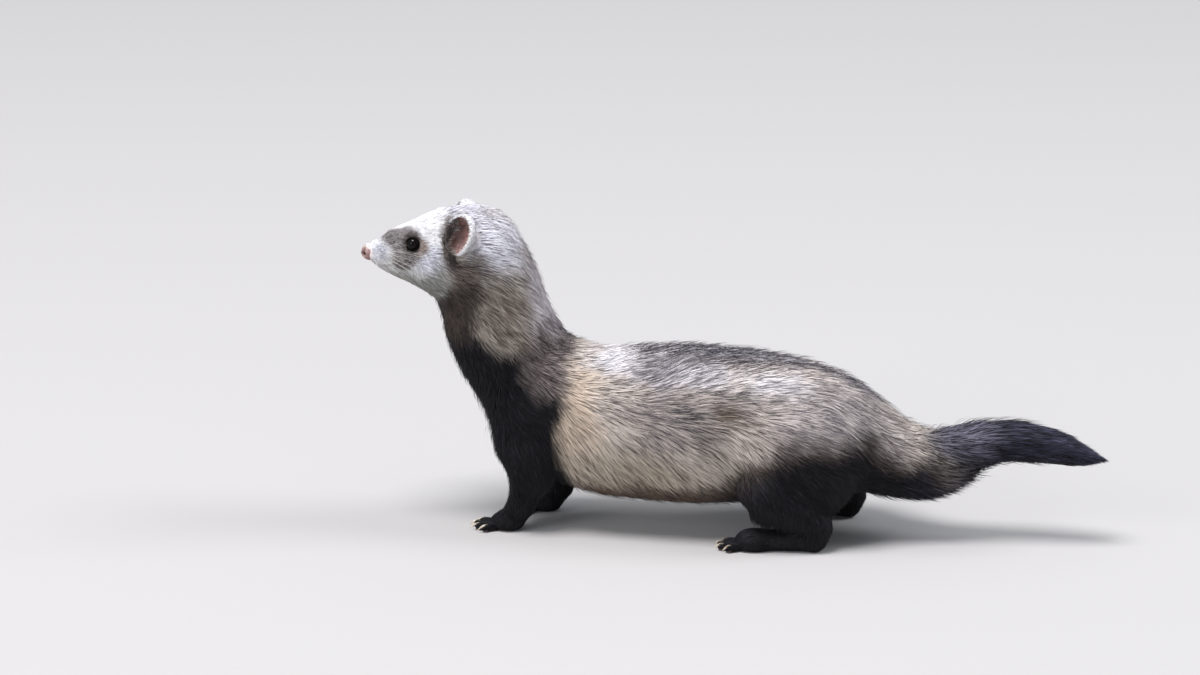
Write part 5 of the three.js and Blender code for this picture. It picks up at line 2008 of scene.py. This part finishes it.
# What a user would change
class FerretSizes(bpy.types.PropertyGroup):
    skin_grain: FloatProperty(
        name="Skin grain",
        description="Width of the skin's faces, which are half as wide on the face",
        default=0.0013,
        min=0.0008,
        unit="LENGTH",
    )
    coat_length: FloatProperty(
        name="Coat length",
        description="Length of the hair against the usual",
        default=1.0,
        min=0.5,
        max=1.4,
        subtype="FACTOR",
    )
    tuft_width: FloatProperty(
        name="Tuft width",
        description="Width of the tufts against the usual",
        default=1.0,
        min=0.3,
        max=3,
        subtype="FACTOR",
    )
    long_tufts: IntProperty(
        name="Long tufts", description="Tufts of the long coat", default=144800, min=100
    )
    short_tufts: IntProperty(
        name="Short tufts", description="Tufts of the short fur", default=62000, min=100
    )
    whisker_length: FloatProperty(
        name="Whisker length",
        description="Length of the longest whiskers",
        default=0.034,
        unit="LENGTH",
    )
    floor_size: FloatProperty(
        name="Floor", description="Side of the square floor", default=14, unit="LENGTH"
    )


def tone(name, description, code):
    return FloatVectorProperty(
        name=name, description=description, subtype="COLOR", size=3, min=0, max=1, default=linear(code)
    )


class FerretColours(bpy.types.PropertyGroup):
    cream: tone("Cream", "Undercoat of the trunk", "#d8cdc2")
    haunch: tone("Haunch", "Undercoat of the haunch", "#bfb6b2")
    sand: tone("Sand", "Undercoat of the lower flank", "#c5b9a8")
    ash: tone("Ash", "Undercoat of the back and the upper flank", "#c0babd")
    tail_start: tone("Start of the tail", "Undercoat of the tail's first part", "#6c6977")
    cheek: tone("Cheek", "Cool white of cheeks and muzzle", "#d3d4dd")
    dun: tone("Dun", "Undercoat of the flank's darker patches", "#b5aba4")
    umber: tone("Umber", "Undercoat of the throat, guard hairs of the flanks", "#5a4f48")
    ivory: tone("Ivory", "Palest patches of the trunk", "#e6e2e4")
    peach: tone("Peach", "Undercoat behind the shoulder", "#d9c6b2")
    # the tan of the belly's hem is darker than its own colour, as painted shade of the underside
    tan: tone("Tan", "Undercoat of the belly's hem", "#806f5f")
    brown: tone("Brown", "Guard hairs of the trunk", "#4f433e")
    grey: tone("Grey", "Paler guard hairs", "#686166")
    slate: tone("Slate", "Guard hairs of the back's ridge", "#35333a")
    black: tone("Black", "Undercoat of chest and legs", "#121012")
    jet: tone("Jet", "Guard hairs of chest, legs and tail", "#09090c")
    tail: tone("Tail", "Undercoat of the tail", "#363543")
    grey_tan: tone("Grey tan", "Undercoat of the neck's sides", "#aaa094")
    mauve: tone("Mauve", "Undercoat of the nape", "#d8d1d5")
    mauve_brown: tone("Mauve brown", "Guard hairs of nape and crown", "#6e6166")
    silver: tone("Silver", "Undercoat behind the ears", "#ecebf2")
    shoulder: tone("Shoulder", "Undercoat of the shoulder blade", "#968a88")
    dark_brown: tone("Dark brown", "Guard hairs of the shoulder and under the ear", "#332c2a")
    white: tone("White", "Forehead, cheeks and muzzle", "#faf9f9")
    chin: tone("Chin", "Undercoat of chin and jaw", "#999a92")
    nose_rim: tone("Round the nose", "Thin fur round the nose pad", "#d6bdb4")
    band: tone("Band", "Undercoat under and before the ear", "#81766e")
    mask: tone("Mask", "Undercoat of the mask", "#a09a99")
    mask_low: tone("Mask by the eye", "Undercoat of the mask close to the eye", "#625955")
    fawn: tone("Fawn", "Undercoat behind the eye", "#a4948a")
    mask_dark: tone("Dark of the mask", "Guard hairs of the mask", "#2f2826")


PIECES = (
    FERRET_OT_skin,
    FERRET_OT_eyes,
    FERRET_OT_nose,
    FERRET_OT_ears,
    FERRET_OT_ear_fur,
    FERRET_OT_whiskers,
    FERRET_OT_claws,
    FERRET_OT_coat,
    FERRET_OT_short_coat,
    FERRET_OT_stage,
)


class FERRET_PT_panel(bpy.types.Panel):
    """Sizes, colours and pieces of the ferret"""

    bl_label = "Ferret"
    bl_space_type = "VIEW_3D"
    bl_region_type = "UI"
    bl_category = "Ferret"

    def draw(self, context):
        for group in (context.scene.ferret_sizes, context.scene.ferret_colours):
            box = self.layout.box()
            for name in group.__annotations__:
                box.prop(group, name)
        for piece in PIECES:
            self.layout.operator(piece.bl_idname)


CLASSES = (FerretSizes, FerretColours, *PIECES, FERRET_PT_panel)


def register():
    for made in CLASSES:
        bpy.utils.register_class(made)
    bpy.types.Scene.ferret_sizes = PointerProperty(type=FerretSizes)
    bpy.types.Scene.ferret_colours = PointerProperty(type=FerretColours)


def unregister():
    del bpy.types.Scene.ferret_colours
    del bpy.types.Scene.ferret_sizes
    for made in reversed(CLASSES):
        bpy.utils.unregister_class(made)


def main():
    register()
    for piece in PIECES:
        make = getattr(bpy.ops.ferret, piece.bl_idname.split(".")[1])
        if make() != {"FINISHED"}:
            raise RuntimeError(piece.bl_label + " didn't finish")


if __name__ == "__main__":
    main()
